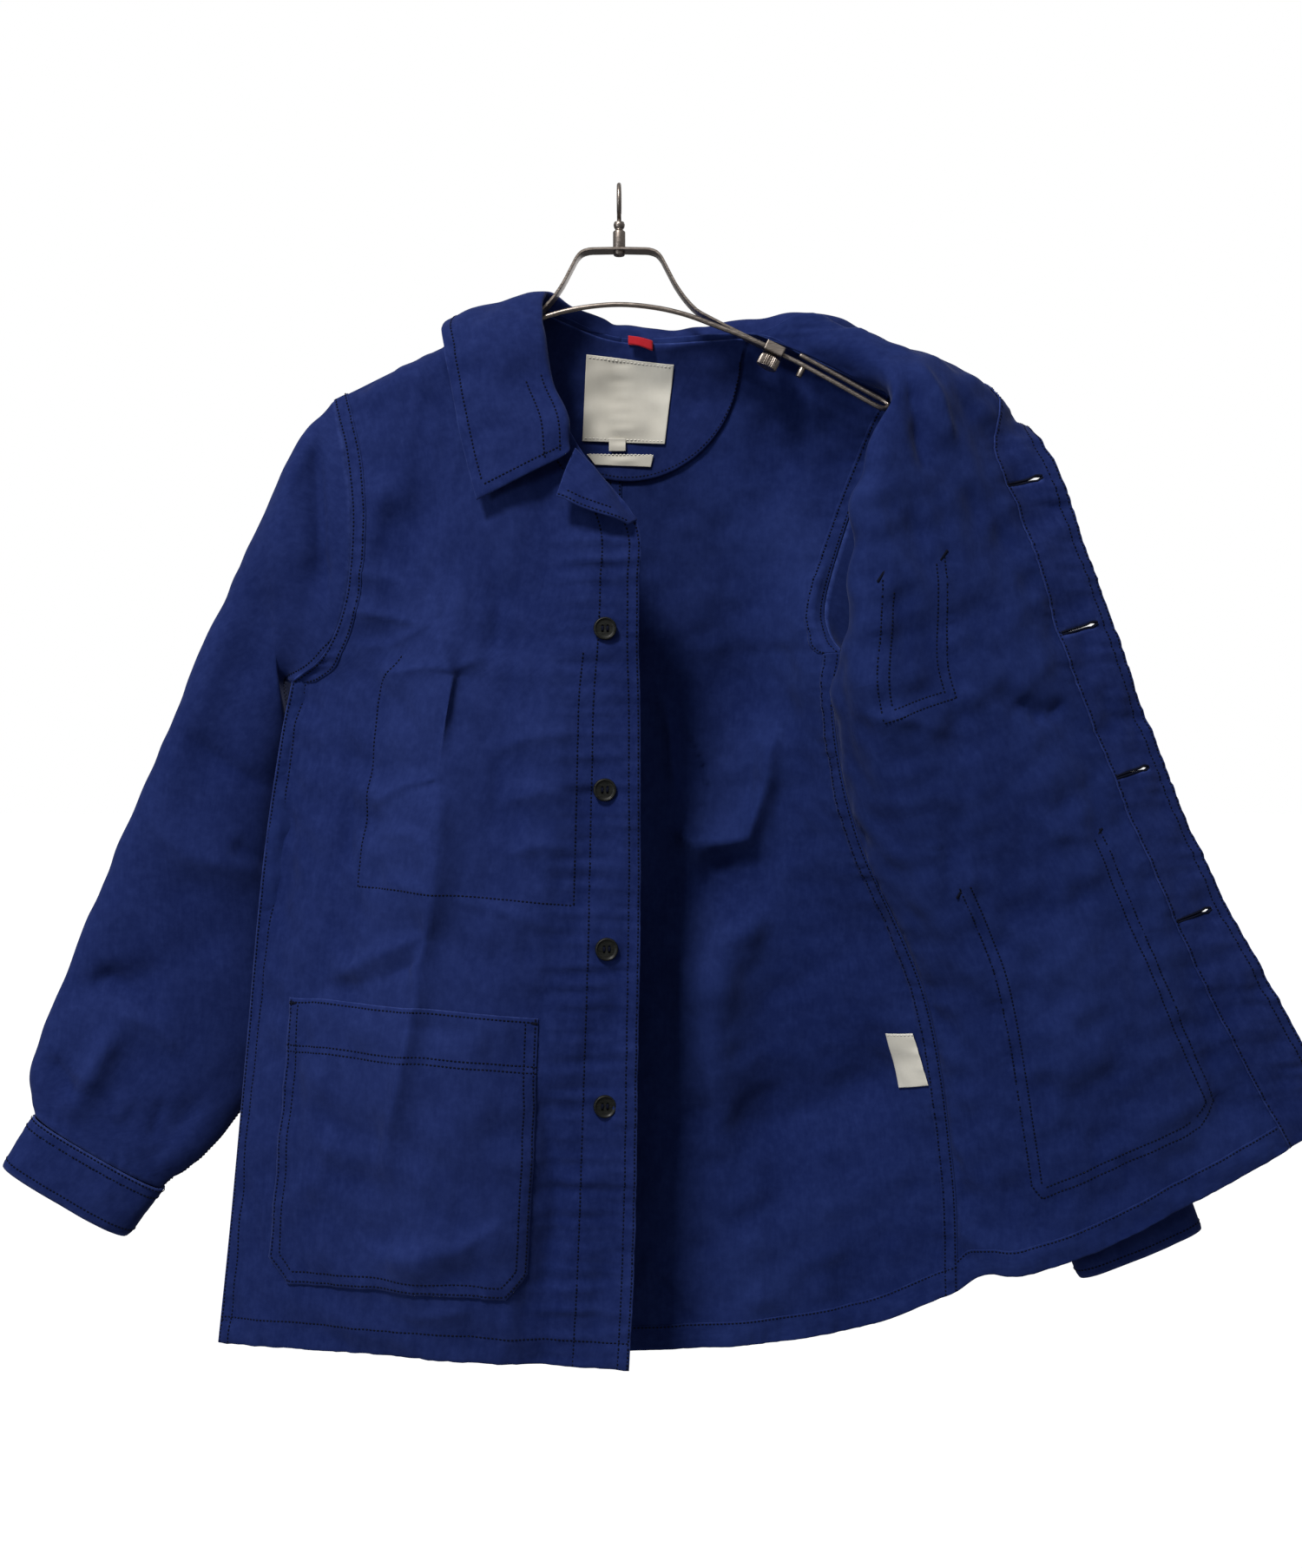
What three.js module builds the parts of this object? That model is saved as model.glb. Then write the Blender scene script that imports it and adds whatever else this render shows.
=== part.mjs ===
// A navy chore jacket that hangs open on a steel hanger, its left front flipped back like a page.
// Millimetres. +Z is up, +X is the wearer's left, and the fronts face -Y.
// The origin is the seat of the hook, the point where a rail carries it.
import * as THREE from 'three';

// Cloth and seams
const CLOTH = 1.5;
const DOUBLE_CLOTH = 2.4;
const PAPER = 0.7;
const SEAM_GAP = 0.36;
const SIDE_GAP = 0.8;
const LAYER_GAP = 0.32;
const LOOSE_GAP = 0.9;
const FACING_GAP = 1.5;
const SEAM_REACH = 7;
const SEAM_LIMIT = 4.2;
const PAIR_LIMIT = 0.22;

// Buttons
const BUTTON_RADIUS = 8;
const BUTTON_HEIGHT = 3.2;
const BUTTON_DISH = 1.1;
const BUTTON_RIM = 2.2;

// Hanger
const ROD = 1.7;
const HOOK_ROD = 1.5;
const HOOK_BEND = 11.5;
const STRAP_THICK = 2;
const STRAP_WIDE = 13;
const CLAMP_AT = 107;
const CLAMP_DROP = 113;
const ARM_SLOPE = 0.5;

// Finishes
const FINISH = {
  front: { color: '#2a3562', roughness: 0.92, metalness: 0 },
  back: { color: '#1f2b57', roughness: 0.92, metalness: 0 },
  inside: { color: '#25325f', roughness: 0.92, metalness: 0 },
  trim: { color: '#1b2650', roughness: 0.92, metalness: 0 },
  label: { color: '#ddd9cc', roughness: 0.75, metalness: 0 },
  loop: { color: '#b5202f', roughness: 0.8, metalness: 0 },
  horn: { color: '#1b1d1c', roughness: 0.3, metalness: 0 },
  steel: { color: '#80726a', roughness: 0.32, metalness: 1 },
};

// Rows that every body panel shares, hem to shoulder, by their place in the tables
const UNDERARM = 5;
const CHEST = 8;
const TOP = 12;
const ARMHOLE_ROWS = [5, 5.5, 6, 6.5, 7, 8, 9, 10, 10.5, 11, 11.5, 12];

// Each row is a level of the right front from the side seam or armhole to the front edge or neck.
const RIGHT_FRONT = [
  {
    at: 'hem', side: [-279, 8, -800], outer: [-202, -20, -798], middle: [-131, -32, -799],
    inner: [-62, -30, -804], edge: [7, -26, -808],
  },
  {
    at: 'hip', side: [-270, 8, -712], outer: [-194, -26, -709], middle: [-124, -42, -709],
    inner: [-57, -38, -715], edge: [11, -28, -722],
  },
  {
    at: 'pocket', side: [-259, 8, -591], outer: [-185, -28, -592], middle: [-117, -44, -595],
    inner: [-52, -40, -601], edge: [13, -30, -608],
  },
  {
    at: 'waist', side: [-248, 7, -471], outer: [-177, -24, -475], middle: [-112, -38, -480],
    inner: [-48, -38, -486], edge: [15, -32, -492],
  },
  {
    at: 'ribs', side: [-236, 6, -386], outer: [-169, -20, -393], middle: [-106, -34, -399],
    inner: [-45, -38, -404], edge: [15, -34, -410],
  },
  {
    at: 'underarm', side: [-227, 4, -341], outer: [-163, -18, -346], middle: [-102, -32, -350],
    inner: [-43, -38, -354], edge: [15, -35, -358],
  },
  {
    at: 'scye', side: [-202, -9, -322], outer: [-146, -23, -322], middle: [-92, -33, -322],
    inner: [-38, -38, -321], edge: [14, -35, -320],
  },
  {
    at: 'blade', side: [-186, -18, -286], outer: [-135, -27, -284], middle: [-85, -34, -282],
    inner: [-35, -37, -280], edge: [14, -34, -277],
  },
  {
    at: 'chest', side: [-181, -22, -233], outer: [-132, -27, -234], middle: [-84, -32, -235],
    inner: [-36, -34, -235], edge: [12, -33, -235],
  },
  {
    at: 'collarbone', side: [-186, -16, -188], outer: [-145, -24, -189], middle: [-104, -28, -189],
    inner: [-64, -30, -188], edge: [-24, -30, -188],
  },
  {
    at: 'yoke', side: [-192, -8, -164], outer: [-157, -20, -157], middle: [-122, -24, -149],
    inner: [-88, -24, -140], edge: [-53, -21, -131],
  },
  {
    at: 'ridge', side: [-195, -3, -153], outer: [-162, -16, -140], middle: [-128, -19, -123],
    inner: [-95, -19, -107], edge: [-61, -14, -89],
  },
  {
    at: 'shoulder', side: [-197, 2, -147], outer: [-163, 1, -131], middle: [-129, 1, -114.2],
    inner: [-96, 1, -98], edge: [-62, 4, -80],
  },
];

// The back, from the right side seam or armhole to the left one; centre is the centre-back seam.
const BACK = [
  {
    at: 'hem', sideR: [-279, 8, -800], outerR: [-212, 28, -805], middleR: [-143, 40, -808],
    innerR: [-71, 44, -814], centre: [1, 40, -816], innerL: [61, 38, -813],
    middleL: [122, 44, -809], outerL: [182, 46, -799], sideL: [240, 32, -771],
  },
  {
    at: 'hip', sideR: [-270, 8, -712], outerR: [-206, 26, -720], middleR: [-138, 40, -727],
    innerR: [-69, 46, -733], centre: [1, 44, -736], innerL: [60, 42, -723],
    middleL: [120, 48, -712], outerL: [179, 46, -698], sideL: [236, 30, -682],
  },
  {
    at: 'pocket', sideR: [-259, 8, -591], outerR: [-196, 24, -597], middleR: [-132, 38, -603],
    innerR: [-66, 46, -608], centre: [1, 48, -613], innerL: [55, 48, -601],
    middleL: [110, 52, -589], outerL: [165, 46, -576], sideL: [216, 24, -562],
  },
  {
    at: 'waist', sideR: [-248, 7, -471], outerR: [-188, 22, -476], middleR: [-126, 36, -481],
    innerR: [-63, 46, -486], centre: [1, 50, -491], innerL: [44, 54, -481], middleL: [87, 56, -471],
    outerL: [129, 44, -460], sideL: [168, 16, -449],
  },
  {
    at: 'ribs', sideR: [-236, 6, -386], outerR: [-179, 20, -386], middleR: [-120, 34, -385],
    innerR: [-60, 44, -385], centre: [1, 50, -385], innerL: [39, 56, -380], middleL: [78, 58, -375],
    outerL: [116, 42, -371], sideL: [150, 6, -367],
  },
  {
    at: 'underarm', sideR: [-227, 4, -341], outerR: [-172, 20, -340], middleR: [-116, 34, -339],
    innerR: [-58, 44, -339], centre: [1, 50, -338], innerL: [40, 56, -333], middleL: [80, 56, -328],
    outerL: [119, 40, -324], sideL: [154, 2, -321],
  },
  {
    at: 'scye', sideR: [-211, 18, -320], outerR: [-159, 28, -317], middleR: [-107, 38, -313],
    innerR: [-53, 44, -310], centre: [1, 48, -307], innerL: [38, 52, -306], middleL: [75, 52, -305],
    outerL: [112, 40, -305], sideL: [146, 14, -306],
  },
  {
    at: 'blade', sideR: [-201, 28, -281], outerR: [-151, 34, -277], middleR: [-101, 40, -272],
    innerR: [-50, 44, -268], centre: [1, 46, -264], innerL: [37, 48, -268], middleL: [74, 48, -272],
    outerL: [110, 40, -276], sideL: [145, 24, -282],
  },
  {
    at: 'chest', sideR: [-197, 32, -226], outerR: [-148, 36, -221], middleR: [-99, 40, -217],
    innerR: [-49, 42, -212], centre: [1, 44, -208], innerL: [41, 44, -213], middleL: [81, 44, -218],
    outerL: [121, 42, -223], sideL: [161, 36, -228],
  },
  {
    at: 'collarbone', sideR: [-195, 22, -181], outerR: [-152, 30, -167], middleR: [-108, 36, -157],
    innerR: [-53, 38, -152], centre: [1, 40, -151], innerL: [47, 38, -154], middleL: [91, 36, -160],
    outerL: [136, 34, -170], sideL: [178, 28, -183],
  },
  {
    at: 'yoke', sideR: [-195, 10, -161], outerR: [-152, 21, -146], middleR: [-107, 28, -126],
    innerR: [-54, 32, -114], centre: [1, 36, -119], innerL: [49, 33, -123], middleL: [93, 28, -129],
    outerL: [140, 24, -146], sideL: [187, 16, -161],
  },
  {
    at: 'ridge', sideR: [-196, 6, -153], outerR: [-152, 14, -132], middleR: [-105, 16, -108],
    innerR: [-59, 19, -90], centre: [1, 33, -106], innerL: [81, 18, -107], middleL: [119, 15, -117],
    outerL: [157, 13, -134], sideL: [193, 10, -151],
  },
  {
    at: 'shoulder', sideR: [-197, 2, -147], outerR: [-152, 1, -125], middleR: [-104, 1, -102],
    innerR: [-62, 4, -80], centre: [1, 30, -96], innerL: [92, 6, -99], middleL: [127, 4, -114],
    outerL: [162, 3, -130], sideL: [197, 4, -144],
  },
];

// The left front from its side seam or armhole, over the fold that turns it open, to its front edge.
// From the corner row upwards its edge is the neck seam, which falls behind the shoulder.
const LEFT_FRONT = [
  {
    at: 'hem', seam: [240, 32, -771], fold: [257, 22, -757], crest: [285, 10, -753],
    middle: [347, 2, -729], facing: [465, 6, -665], edge: [505, 12, -646],
  },
  {
    at: 'hip', seam: [236, 30, -682], fold: [247, 18, -674], crest: [272, 6, -660],
    middle: [329, -2, -633], facing: [425, 4, -591], edge: [466, 10, -576],
  },
  {
    at: 'pocket', seam: [216, 24, -562], fold: [226, 10, -554], crest: [249, -6, -543],
    middle: [297, -12, -520], facing: [375, -2, -490], edge: [412, 8, -478],
  },
  {
    at: 'waist', seam: [168, 16, -449], fold: [175, -2, -443], crest: [199, -24, -434],
    middle: [251, -26, -413], facing: [330, -6, -383], edge: [368, 5, -372],
  },
  {
    at: 'ribs', seam: [150, 6, -367], fold: [153, -16, -363], crest: [173, -40, -357],
    middle: [226, -36, -340], facing: [305, -8, -320], edge: [344, 4, -308],
  },
  {
    at: 'underarm', seam: [154, 2, -321], fold: [155, -24, -317], crest: [173, -44, -311],
    middle: [223, -35, -297], facing: [293, -8, -279], edge: [330, 4, -268],
  },
  {
    at: 'scye', seam: [164, -6, -308], fold: [157, -30, -298], crest: [174, -44, -289],
    middle: [222, -33, -273], facing: [286, -7, -258], edge: [322, 5, -246],
  },
  {
    at: 'blade', seam: [169, -12, -279], fold: [157, -34, -264], crest: [175, -44, -254],
    middle: [220, -30, -237], facing: [276, -4, -226], edge: [313, 6, -218],
  },
  {
    at: 'chest', seam: [173, -14, -232], fold: [160, -36, -221], crest: [178, -44, -209],
    middle: [219, -26, -190], facing: [259, -4, -186], edge: [296, 10, -176],
  },
  {
    at: 'collarbone', seam: [180, -9, -190], fold: [169, -36, -184], crest: [186, -38, -165],
    middle: [224, -14, -137], facing: [261, 12, -142], edge: [282, 40, -162],
  },
  {
    at: 'corner', seam: [188, -4, -166], fold: [182, -28, -160], crest: [189, -26, -139],
    middle: [209, 2, -112], facing: [234, 42, -120], edge: [237, 70, -179],
  },
  {
    at: 'neck', seam: [194, 1, -152], fold: [188, -12, -147], crest: [181, -16, -132],
    middle: [166, -8, -112], facing: [157, 4, -98], edge: [149, 14, -91],
  },
  {
    at: 'shoulder', seam: [197, 4, -144], fold: [184, 4, -139], crest: [166, 3, -132],
    middle: [133, 4, -116], facing: [109, 4, -106], edge: [92, 6, -99],
  },
];

// The collar from the right notch round the neck to the left one, which hangs behind the shoulder
const COLLAR = [
  {
    at: 'gorge', seam: [-33, -34, -185], roll: [-34, -42, -191], fall: [-63, -47, -207],
    edge: [-94, -45, -223],
  },
  {
    at: 'front', seam: [-42, -28, -162], roll: [-37, -39, -164], fall: [-69, -45, -179],
    edge: [-103, -42, -190],
  },
  {
    at: 'throat', seam: [-54, -21, -129], roll: [-49, -32, -132], fall: [-80, -41, -144],
    edge: [-111, -37, -151],
  },
  {
    at: 'neck', seam: [-60, -17, -103], roll: [-52, -27, -101], fall: [-83, -35, -110],
    edge: [-117, -31, -120],
  },
  {
    at: 'shoulder', seam: [-62, 3, -79], roll: [-51, -2, -73], fall: [-79, -5, -78.5],
    edge: [-116, -4, -95],
  },
  { at: 'nape', seam: [-36, 20, -90], roll: [-34, 20, -78], fall: [-39, 42, -83], edge: [-62, 54, -123] },
  { at: 'back', seam: [-15, 27, -94], roll: [-12, 30, -83], fall: [-15, 47, -100], edge: [-19, 56, -143] },
  { at: 'centre', seam: [1, 30, -96], roll: [3, 36, -89], fall: [2, 51, -107], edge: [1, 57, -148] },
  { at: 'backL', seam: [53, 22, -99], roll: [54, 31, -90], fall: [56, 48, -111], edge: [57, 56, -149] },
  {
    at: 'shoulderL', seam: [92, 8, -99], roll: [94, 17, -88], fall: [100, 43, -105],
    edge: [107, 56, -139],
  },
  { at: 'neckL', seam: [149, 14, -91], roll: [152, 24, -84], fall: [159, 48, -100], edge: [170, 62, -130] },
  {
    at: 'frontL', seam: [204, 50, -121], roll: [212, 57, -115], fall: [215, 72, -134],
    edge: [217, 78, -158],
  },
  {
    at: 'gorgeL', seam: [237, 71, -179], roll: [245, 78, -184], fall: [241, 84, -205],
    edge: [234, 86, -227],
  },
];

// The turned-back top of the right front, from the roll line out
const LAPEL = [
  { at: 'break', roll: [13, -34, -234], middle: [10, -37, -236], edge: [7, -40, -238] },
  { at: 'low', roll: [1, -34, -220], middle: [-4, -41, -227], edge: [-9, -46, -233] },
  { at: 'high', roll: [-13, -34, -203], middle: [-19, -42, -215], edge: [-25, -50, -227] },
  { at: 'gorge', roll: [-29, -34, -186], middle: [-35, -41, -201], edge: [-41, -50, -221] },
];

// Sleeve sections from the armhole down: the outer and inner crease and the thickness between
const RIGHT_SLEEVE = [
  { at: 'cap', outer: [-222, 6, -176], inner: [-236.5, 25, -343], thick: 60 },
  { at: 'biceps', outer: [-257, 14, -245], inner: [-233, 38, -384], thick: 56 },
  { at: 'upper', outer: [-299, 20, -334], inner: [-239, 46, -429], thick: 52 },
  { at: 'elbow', outer: [-330, 22, -407], inner: [-243, 50, -482], thick: 48 },
  { at: 'forearm', outer: [-360, 22, -476], inner: [-246, 52, -538], thick: 46 },
  { at: 'lower', outer: [-390, 20, -549], inner: [-252, 50, -594], thick: 44 },
  { at: 'gather', outer: [-410, 18, -606], inner: [-271, 44, -643], thick: 42 },
  { at: 'band', outer: [-411, 16, -630], inner: [-297, 34, -676], thick: 36 },
  { at: 'wrist', outer: [-407, 14, -643], inner: [-323, 26, -696], thick: 30 },
];
const LEFT_SLEEVE = [
  { at: 'cap', outer: [212, 18, -167], inner: [174, 20, -338], thick: 46 },
  { at: 'biceps', outer: [241, 34, -225], inner: [180, 38, -390], thick: 44 },
  { at: 'upper', outer: [280, 44, -298], inner: [198, 50, -449], thick: 42 },
  { at: 'elbow', outer: [317, 46, -385], inner: [223, 52, -511], thick: 40 },
  { at: 'forearm', outer: [352, 46, -472], inner: [246, 52, -573], thick: 38 },
  { at: 'lower', outer: [380, 46, -553], inner: [265, 50, -632], thick: 36 },
  { at: 'gather', outer: [396, 46, -628], inner: [289, 48, -683], thick: 34 },
  { at: 'band', outer: [401, 45, -665], inner: [305, 46, -710], thick: 32 },
  { at: 'wrist', outer: [398, 44, -688], inner: [314, 45, -724], thick: 28 },
];
const RIGHT_CUFF = [
  { at: 'wrist', outer: [-408, 14, -643], inner: [-322, 26, -697], thick: 31 },
  { at: 'middle', outer: [-419, 13, -660], inner: [-334, 24, -713], thick: 32 },
  { at: 'end', outer: [-429, 12, -677], inner: [-347, 22, -729], thick: 31 },
];
const LEFT_CUFF = [
  { at: 'wrist', outer: [399, 44, -688], inner: [313, 45, -725], thick: 29 },
  { at: 'middle', outer: [407, 43, -708], inner: [321, 45, -744], thick: 30 },
  { at: 'end', outer: [414, 42, -728], inner: [329, 44, -764], thick: 29 },
];

// The largest folds: soft troughs (a positive depth sinks the cloth) from one end to the other
const RIGHT_FRONT_FOLDS = [
  { at: 'throat ridge', from: [-181, -247], to: [-129, -180], width: 15, depth: -4 },
  { at: 'chest valley', from: [-131, -188], to: [-125, -297], width: 15, depth: 5 },
  { at: 'scye ray', from: [-187, -267], to: [-130, -297], width: 10, depth: -3 },
  { at: 'ribs trough', from: [-106, -341], to: [-120, -411], width: 13, depth: 5 },
  { at: 'waist drag', from: [-204, -556], to: [-139, -536], width: 9, depth: 3 },
  { at: 'pocket valley', from: [-127, -518], to: [-169, -733], width: 21, depth: 7 },
  { at: 'hip ridge', from: [-181, -737], to: [-91, -723], width: 15, depth: -3 },
  { at: 'placket fold', from: [-49, -630], to: [-47, -747], width: 12, depth: 4 },
];
const BACK_FOLDS = [
  { at: 'waist valley', from: [53, -470], to: [82, -514], width: 17, depth: -7 },
  { at: 'waist turn', from: [82, -514], to: [66, -556], width: 17, depth: -6 },
  { at: 'long fold', from: [66, -556], to: [73, -664], width: 20, depth: -6 },
  { at: 'side shadow', from: [73, -664], to: [165, -630], width: 24, depth: 5 },
  { at: 'inner fold', from: [34, -379], to: [46, -466], width: 20, depth: 6 },
  { at: 'hem fold', from: [28, -760], to: [48, -789], width: 14, depth: -5 },
  { at: 'blade fold', from: [-106, -250], to: [-120, -430], width: 26, depth: -5 },
  { at: 'right fold', from: [-96, -520], to: [-120, -760], width: 30, depth: 6 },
];
const LEFT_FRONT_FOLDS = [
  { at: 'arm fold', from: [212, -300], to: [232, -380], width: 16, depth: 4 },
  { at: 'chest crease', from: [262, -353], to: [296, -369], width: 11, depth: 4 },
  { at: 'waist fold', from: [226, -450], to: [290, -560], width: 20, depth: 5 },
  { at: 'hip swell', from: [330, -540], to: [378, -640], width: 24, depth: -5 },
  { at: 'hem swell', from: [390, -690], to: [420, -640], width: 22, depth: 4 },
];
const RIGHT_SLEEVE_FOLDS = [
  { at: 'under fold', from: [-204, -270], to: [-216, -330], width: 12, depth: 9 },
  { at: 'arm fold', from: [-250, -300], to: [-300, -420], width: 20, depth: 5 },
  { at: 'elbow fold', from: [-330, -450], to: [-290, -520], width: 18, depth: 5 },
  { at: 'wrist trough', from: [-385, -553], to: [-330, -545], width: 12, depth: 5 },
  { at: 'wrist ridge', from: [-352, -587], to: [-377, -634], width: 10, depth: -5 },
  { at: 'cuff gather', from: [-300, -640], to: [-330, -680], width: 9, depth: 4 },
];
const LEFT_SLEEVE_FOLDS = [
  { at: 'arm fold', from: [220, -260], to: [250, -380], width: 20, depth: 5 },
  { at: 'elbow fold', from: [290, -470], to: [270, -540], width: 18, depth: 5 },
  { at: 'wrist trough', from: [380, -600], to: [320, -620], width: 12, depth: 4 },
];

// Patch pockets, by their place in the panel's tables: columns across and rows up
const HIP_POCKET = { left: 0.42, right: 2.96, bottom: 0.53, top: 2.27, corner: 0.2 };
const INNER_POCKET = { left: 1, right: 3.32, bottom: 2.92, top: 6, corner: 0 };
const LEFT_CHEST_POCKET = { left: 2, right: 3, bottom: 3.75, top: 6.5, corner: 0 };
const LEFT_HIP_POCKET = { left: 2.16, right: 3.72, bottom: 0.5, top: 2.5, corner: 0.14 };
const PLACKET = { inner: 3.42, top: CHEST };
const LEFT_FACING = { inner: 4, top: 10 };

// Buttons and labels by their places across and up
const BUTTONS = [
  { at: 'button_1', x: -9, z: -308 },
  { at: 'button_2', x: -9, z: -416 },
  { at: 'button_3', x: -8, z: -523 },
  { at: 'button_4', x: -9, z: -629 },
];
const MAIN_LABEL = {
  topLeft: [-24, -107], topRight: [39, -114], bottomRight: [32, -170], bottomLeft: [-27, -168],
};
const SIZE_TAB = {
  topLeft: [-8, -166], topRight: [4, -166], bottomRight: [4, -175], bottomLeft: [-8, -175],
};
const STRIP_LABEL = {
  topLeft: [-24, -177], topRight: [24, -177.5], bottomRight: [22, -186], bottomLeft: [-18, -184.5],
};
const CARE_LABEL = {
  topLeft: [189, -590], topRight: [208, -588], bottomRight: [219, -625], bottomLeft: [197, -630],
};
const MOON = { x: 5, z: -112, across: 80, down: 84 };

const point = (a) => new THREE.Vector3(a[0], a[1], a[2]);
const mix = (a, b, t) => a + (b - a) * t;

// A smooth run through points, t counted in points, sharp at the places listed in corners
function run(points, t, corners = []) {
  const last = points.length - 1;
  const i = Math.max(0, Math.min(Math.floor(t), last - 1));
  const k = t - i;
  const b = points[i];
  const c = points[i + 1];
  const opens = i === 0 || corners.includes(i);
  const closes = i + 1 === last || corners.includes(i + 1);
  const a = opens ? b.clone().multiplyScalar(2).sub(c) : points[i - 1];
  const d = closes ? c.clone().multiplyScalar(2).sub(b) : points[i + 2];
  const weights = [
    ((2 - k) * k - 1) * k / 2,
    ((3 * k - 5) * k * k + 2) / 2,
    ((4 - 3 * k) * k + 1) * k / 2,
    (k - 1) * k * k / 2,
  ];
  const result = new THREE.Vector3();
  [a, b, c, d].forEach((p, n) => result.addScaledVector(p, weights[n]));
  return result;
}

// How far a table of folds moves the cloth at one place
function sink(folds, x, z) {
  let depth = 0;
  for (const fold of folds) {
    const dx = fold.to[0] - fold.from[0];
    const dz = fold.to[1] - fold.from[1];
    const long = Math.hypot(dx, dz);
    const t = ((x - fold.from[0]) * dx + (z - fold.from[1]) * dz) / (long * long);
    const near = Math.max(0, Math.min(1, t));
    const away = Math.hypot(x - fold.from[0] - near * dx, z - fold.from[1] - near * dz);
    depth += fold.depth * Math.exp(-((away / fold.width) ** 2));
  }
  return depth;
}

// Folds die out towards the seams, so that neighbours still meet there.
function fade(t, last, reach) {
  const edge = Math.min(t, last - t) / reach;
  return THREE.MathUtils.smoothstep(edge, 0, 1);
}

// A panel of cloth through a table: u counts its columns, v its rows.
function panel(rows, columns, folds, corners = {}) {
  const lines = columns.map((name) => rows.map((row) => point(row[name])));
  const lastU = columns.length - 1;
  const lastV = rows.length - 1;
  return (u, v) => {
    const across = lines.map((line, i) => run(line, v, corners[columns[i]]));
    const p = run(across, u);
    p.y += sink(folds, p.x, p.z) * fade(u, lastU, 0.5) * fade(v, lastV, 0.7);
    return p;
  };
}

// A sleeve or cuff through a table: u goes once round, v counts the sections.
function tube(rows, side, round, folds, armhole) {
  const ring = (row, turn) => {
    const angle = turn * 2 * Math.PI;
    const outer = point(row.outer);
    const inner = point(row.inner);
    const p = outer.clone().add(inner).multiplyScalar(0.5);
    const c = Math.cos(angle);
    const s = Math.sin(angle);
    p.addScaledVector(outer.sub(inner), Math.sign(c) * Math.abs(c) ** round / 2);
    p.y -= Math.sign(s) * Math.abs(s) ** round * row.thick / 2;
    return p;
  };
  return (u, v) => {
    const turn = side < 0 ? 1 - u : u;
    const rings = rows.map((row) => ring(row, turn));
    const sections = armhole ? [armhole(turn), ...rings] : rings;
    const p = run(sections, v);
    const face = -Math.sin(turn * 2 * Math.PI);
    p.y -= face * sink(folds, p.x, p.z) * fade(v, sections.length - 1, 1) * Math.abs(face);
    return p;
  };
}

// The armhole that a sleeve starts from: down its front edge, then up its back edge
function armholeOf(front, back) {
  return (turn) => {
    const half = turn < 0.5 ? turn * 2 : 2 - turn * 2;
    const rows = ARMHOLE_ROWS.length - 1;
    const place = (1 - half) * rows;
    const i = Math.min(Math.floor(place), rows - 1);
    const v = mix(ARMHOLE_ROWS[i], ARMHOLE_ROWS[i + 1], place - i);
    return (turn < 0.5 ? front : back)(v);
  };
}

// Grid lines from the first to the last stop, with every stop on a line
function lines(stops, step) {
  const out = [stops[0]];
  for (let i = 1; i < stops.length; i += 1) {
    const parts = Math.max(1, Math.round((stops[i] - stops[i - 1]) / step));
    for (let k = 1; k <= parts; k += 1) out.push(mix(stops[i - 1], stops[i], k / parts));
  }
  return out;
}

function faceNormal(surface, u, v) {
  const h = 0.03;
  const across = surface(u + h, v).sub(surface(u - h, v));
  const up = surface(u, v + h).sub(surface(u, v - h));
  return across.cross(up).normalize();
}

// The edges that only one triangle uses, in the order that keeps the cloth on their left
function rimOf(triangles) {
  const edges = new Map();
  for (const [a, b, c] of triangles) {
    for (const [from, to] of [[a, b], [b, c], [c, a]]) {
      if (edges.get(`${to},${from}`)) edges.delete(`${to},${from}`);
      else edges.set(`${from},${to}`, [from, to]);
    }
  }
  return [...edges.values()];
}

// A patch is a surface laid out as a net of triangles, with the directions that lead in from its rim.
function net(surface, us, vs, { closed = false, corner = 0 } = {}) {
  const points = [];
  const normals = [];
  for (const v of vs) {
    for (const u of closed ? us.slice(0, -1) : us) {
      points.push(surface(u, v));
      normals.push(faceNormal(surface, u, v));
    }
  }
  const wide = closed ? us.length - 1 : us.length;
  const triangles = [];
  for (let j = 0; j + 1 < vs.length; j += 1) {
    for (let i = 0; i + 1 < us.length; i += 1) {
      const a = j * wide + i;
      const b = j * wide + (i + 1) % wide;
      const c = b + wide;
      const d = a + wide;
      const cutLeft = corner && j === 0 && i === 0;
      const cutRight = corner && j === 0 && i === us.length - 2;
      if (cutLeft) triangles.push([b, c, d]);
      else if (cutRight) triangles.push([a, c, d]);
      else triangles.push([a, b, c], [a, c, d]);
    }
  }
  const rim = rimOf(triangles);
  const inward = new Map();
  for (const [from, to] of rim) {
    const along = points[to].clone().sub(points[from]);
    for (const i of [from, to]) {
      const into = inward.get(i) ?? new THREE.Vector3();
      inward.set(i, into.add(normals[i].clone().cross(along).normalize()));
    }
  }
  for (const into of inward.values()) into.normalize();
  return { points, normals, triangles, rim, inward };
}

// The place on another patch's rim that is nearest to a point
function nearestOnRim(patch, p) {
  let best = { distance: Infinity };
  for (const [from, to] of patch.rim) {
    const line = new THREE.Line3(patch.points[from], patch.points[to]);
    const t = line.closestPointToPointParameter(p, true);
    const at = line.at(t, new THREE.Vector3());
    const distance = at.distanceTo(p);
    if (distance < best.distance) best = { distance, at, t, from, to };
  }
  const into = patch.inward.get(best.from).clone().lerp(patch.inward.get(best.to), best.t).normalize();
  return { ...best, into };
}

// How far an edge point draws in, so that two walls meet on the plane halfway between them
function drawIn(p, normal, into, height, near, gap) {
  let shift = 0;
  for (const other of near) {
    const across = into.clone().sub(other.into);
    if (across.length() < PAIR_LIMIT) across.copy(into);
    across.normalize();
    const lead = Math.max(PAIR_LIMIT, across.dot(into));
    const middle = p.clone().add(other.at).multiplyScalar(0.5);
    const have = across.dot(p.clone().sub(middle)) + height * across.dot(normal);
    shift = Math.max(shift, (gap / 2 - have) / lead);
  }
  return Math.min(shift, SEAM_LIMIT);
}

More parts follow.
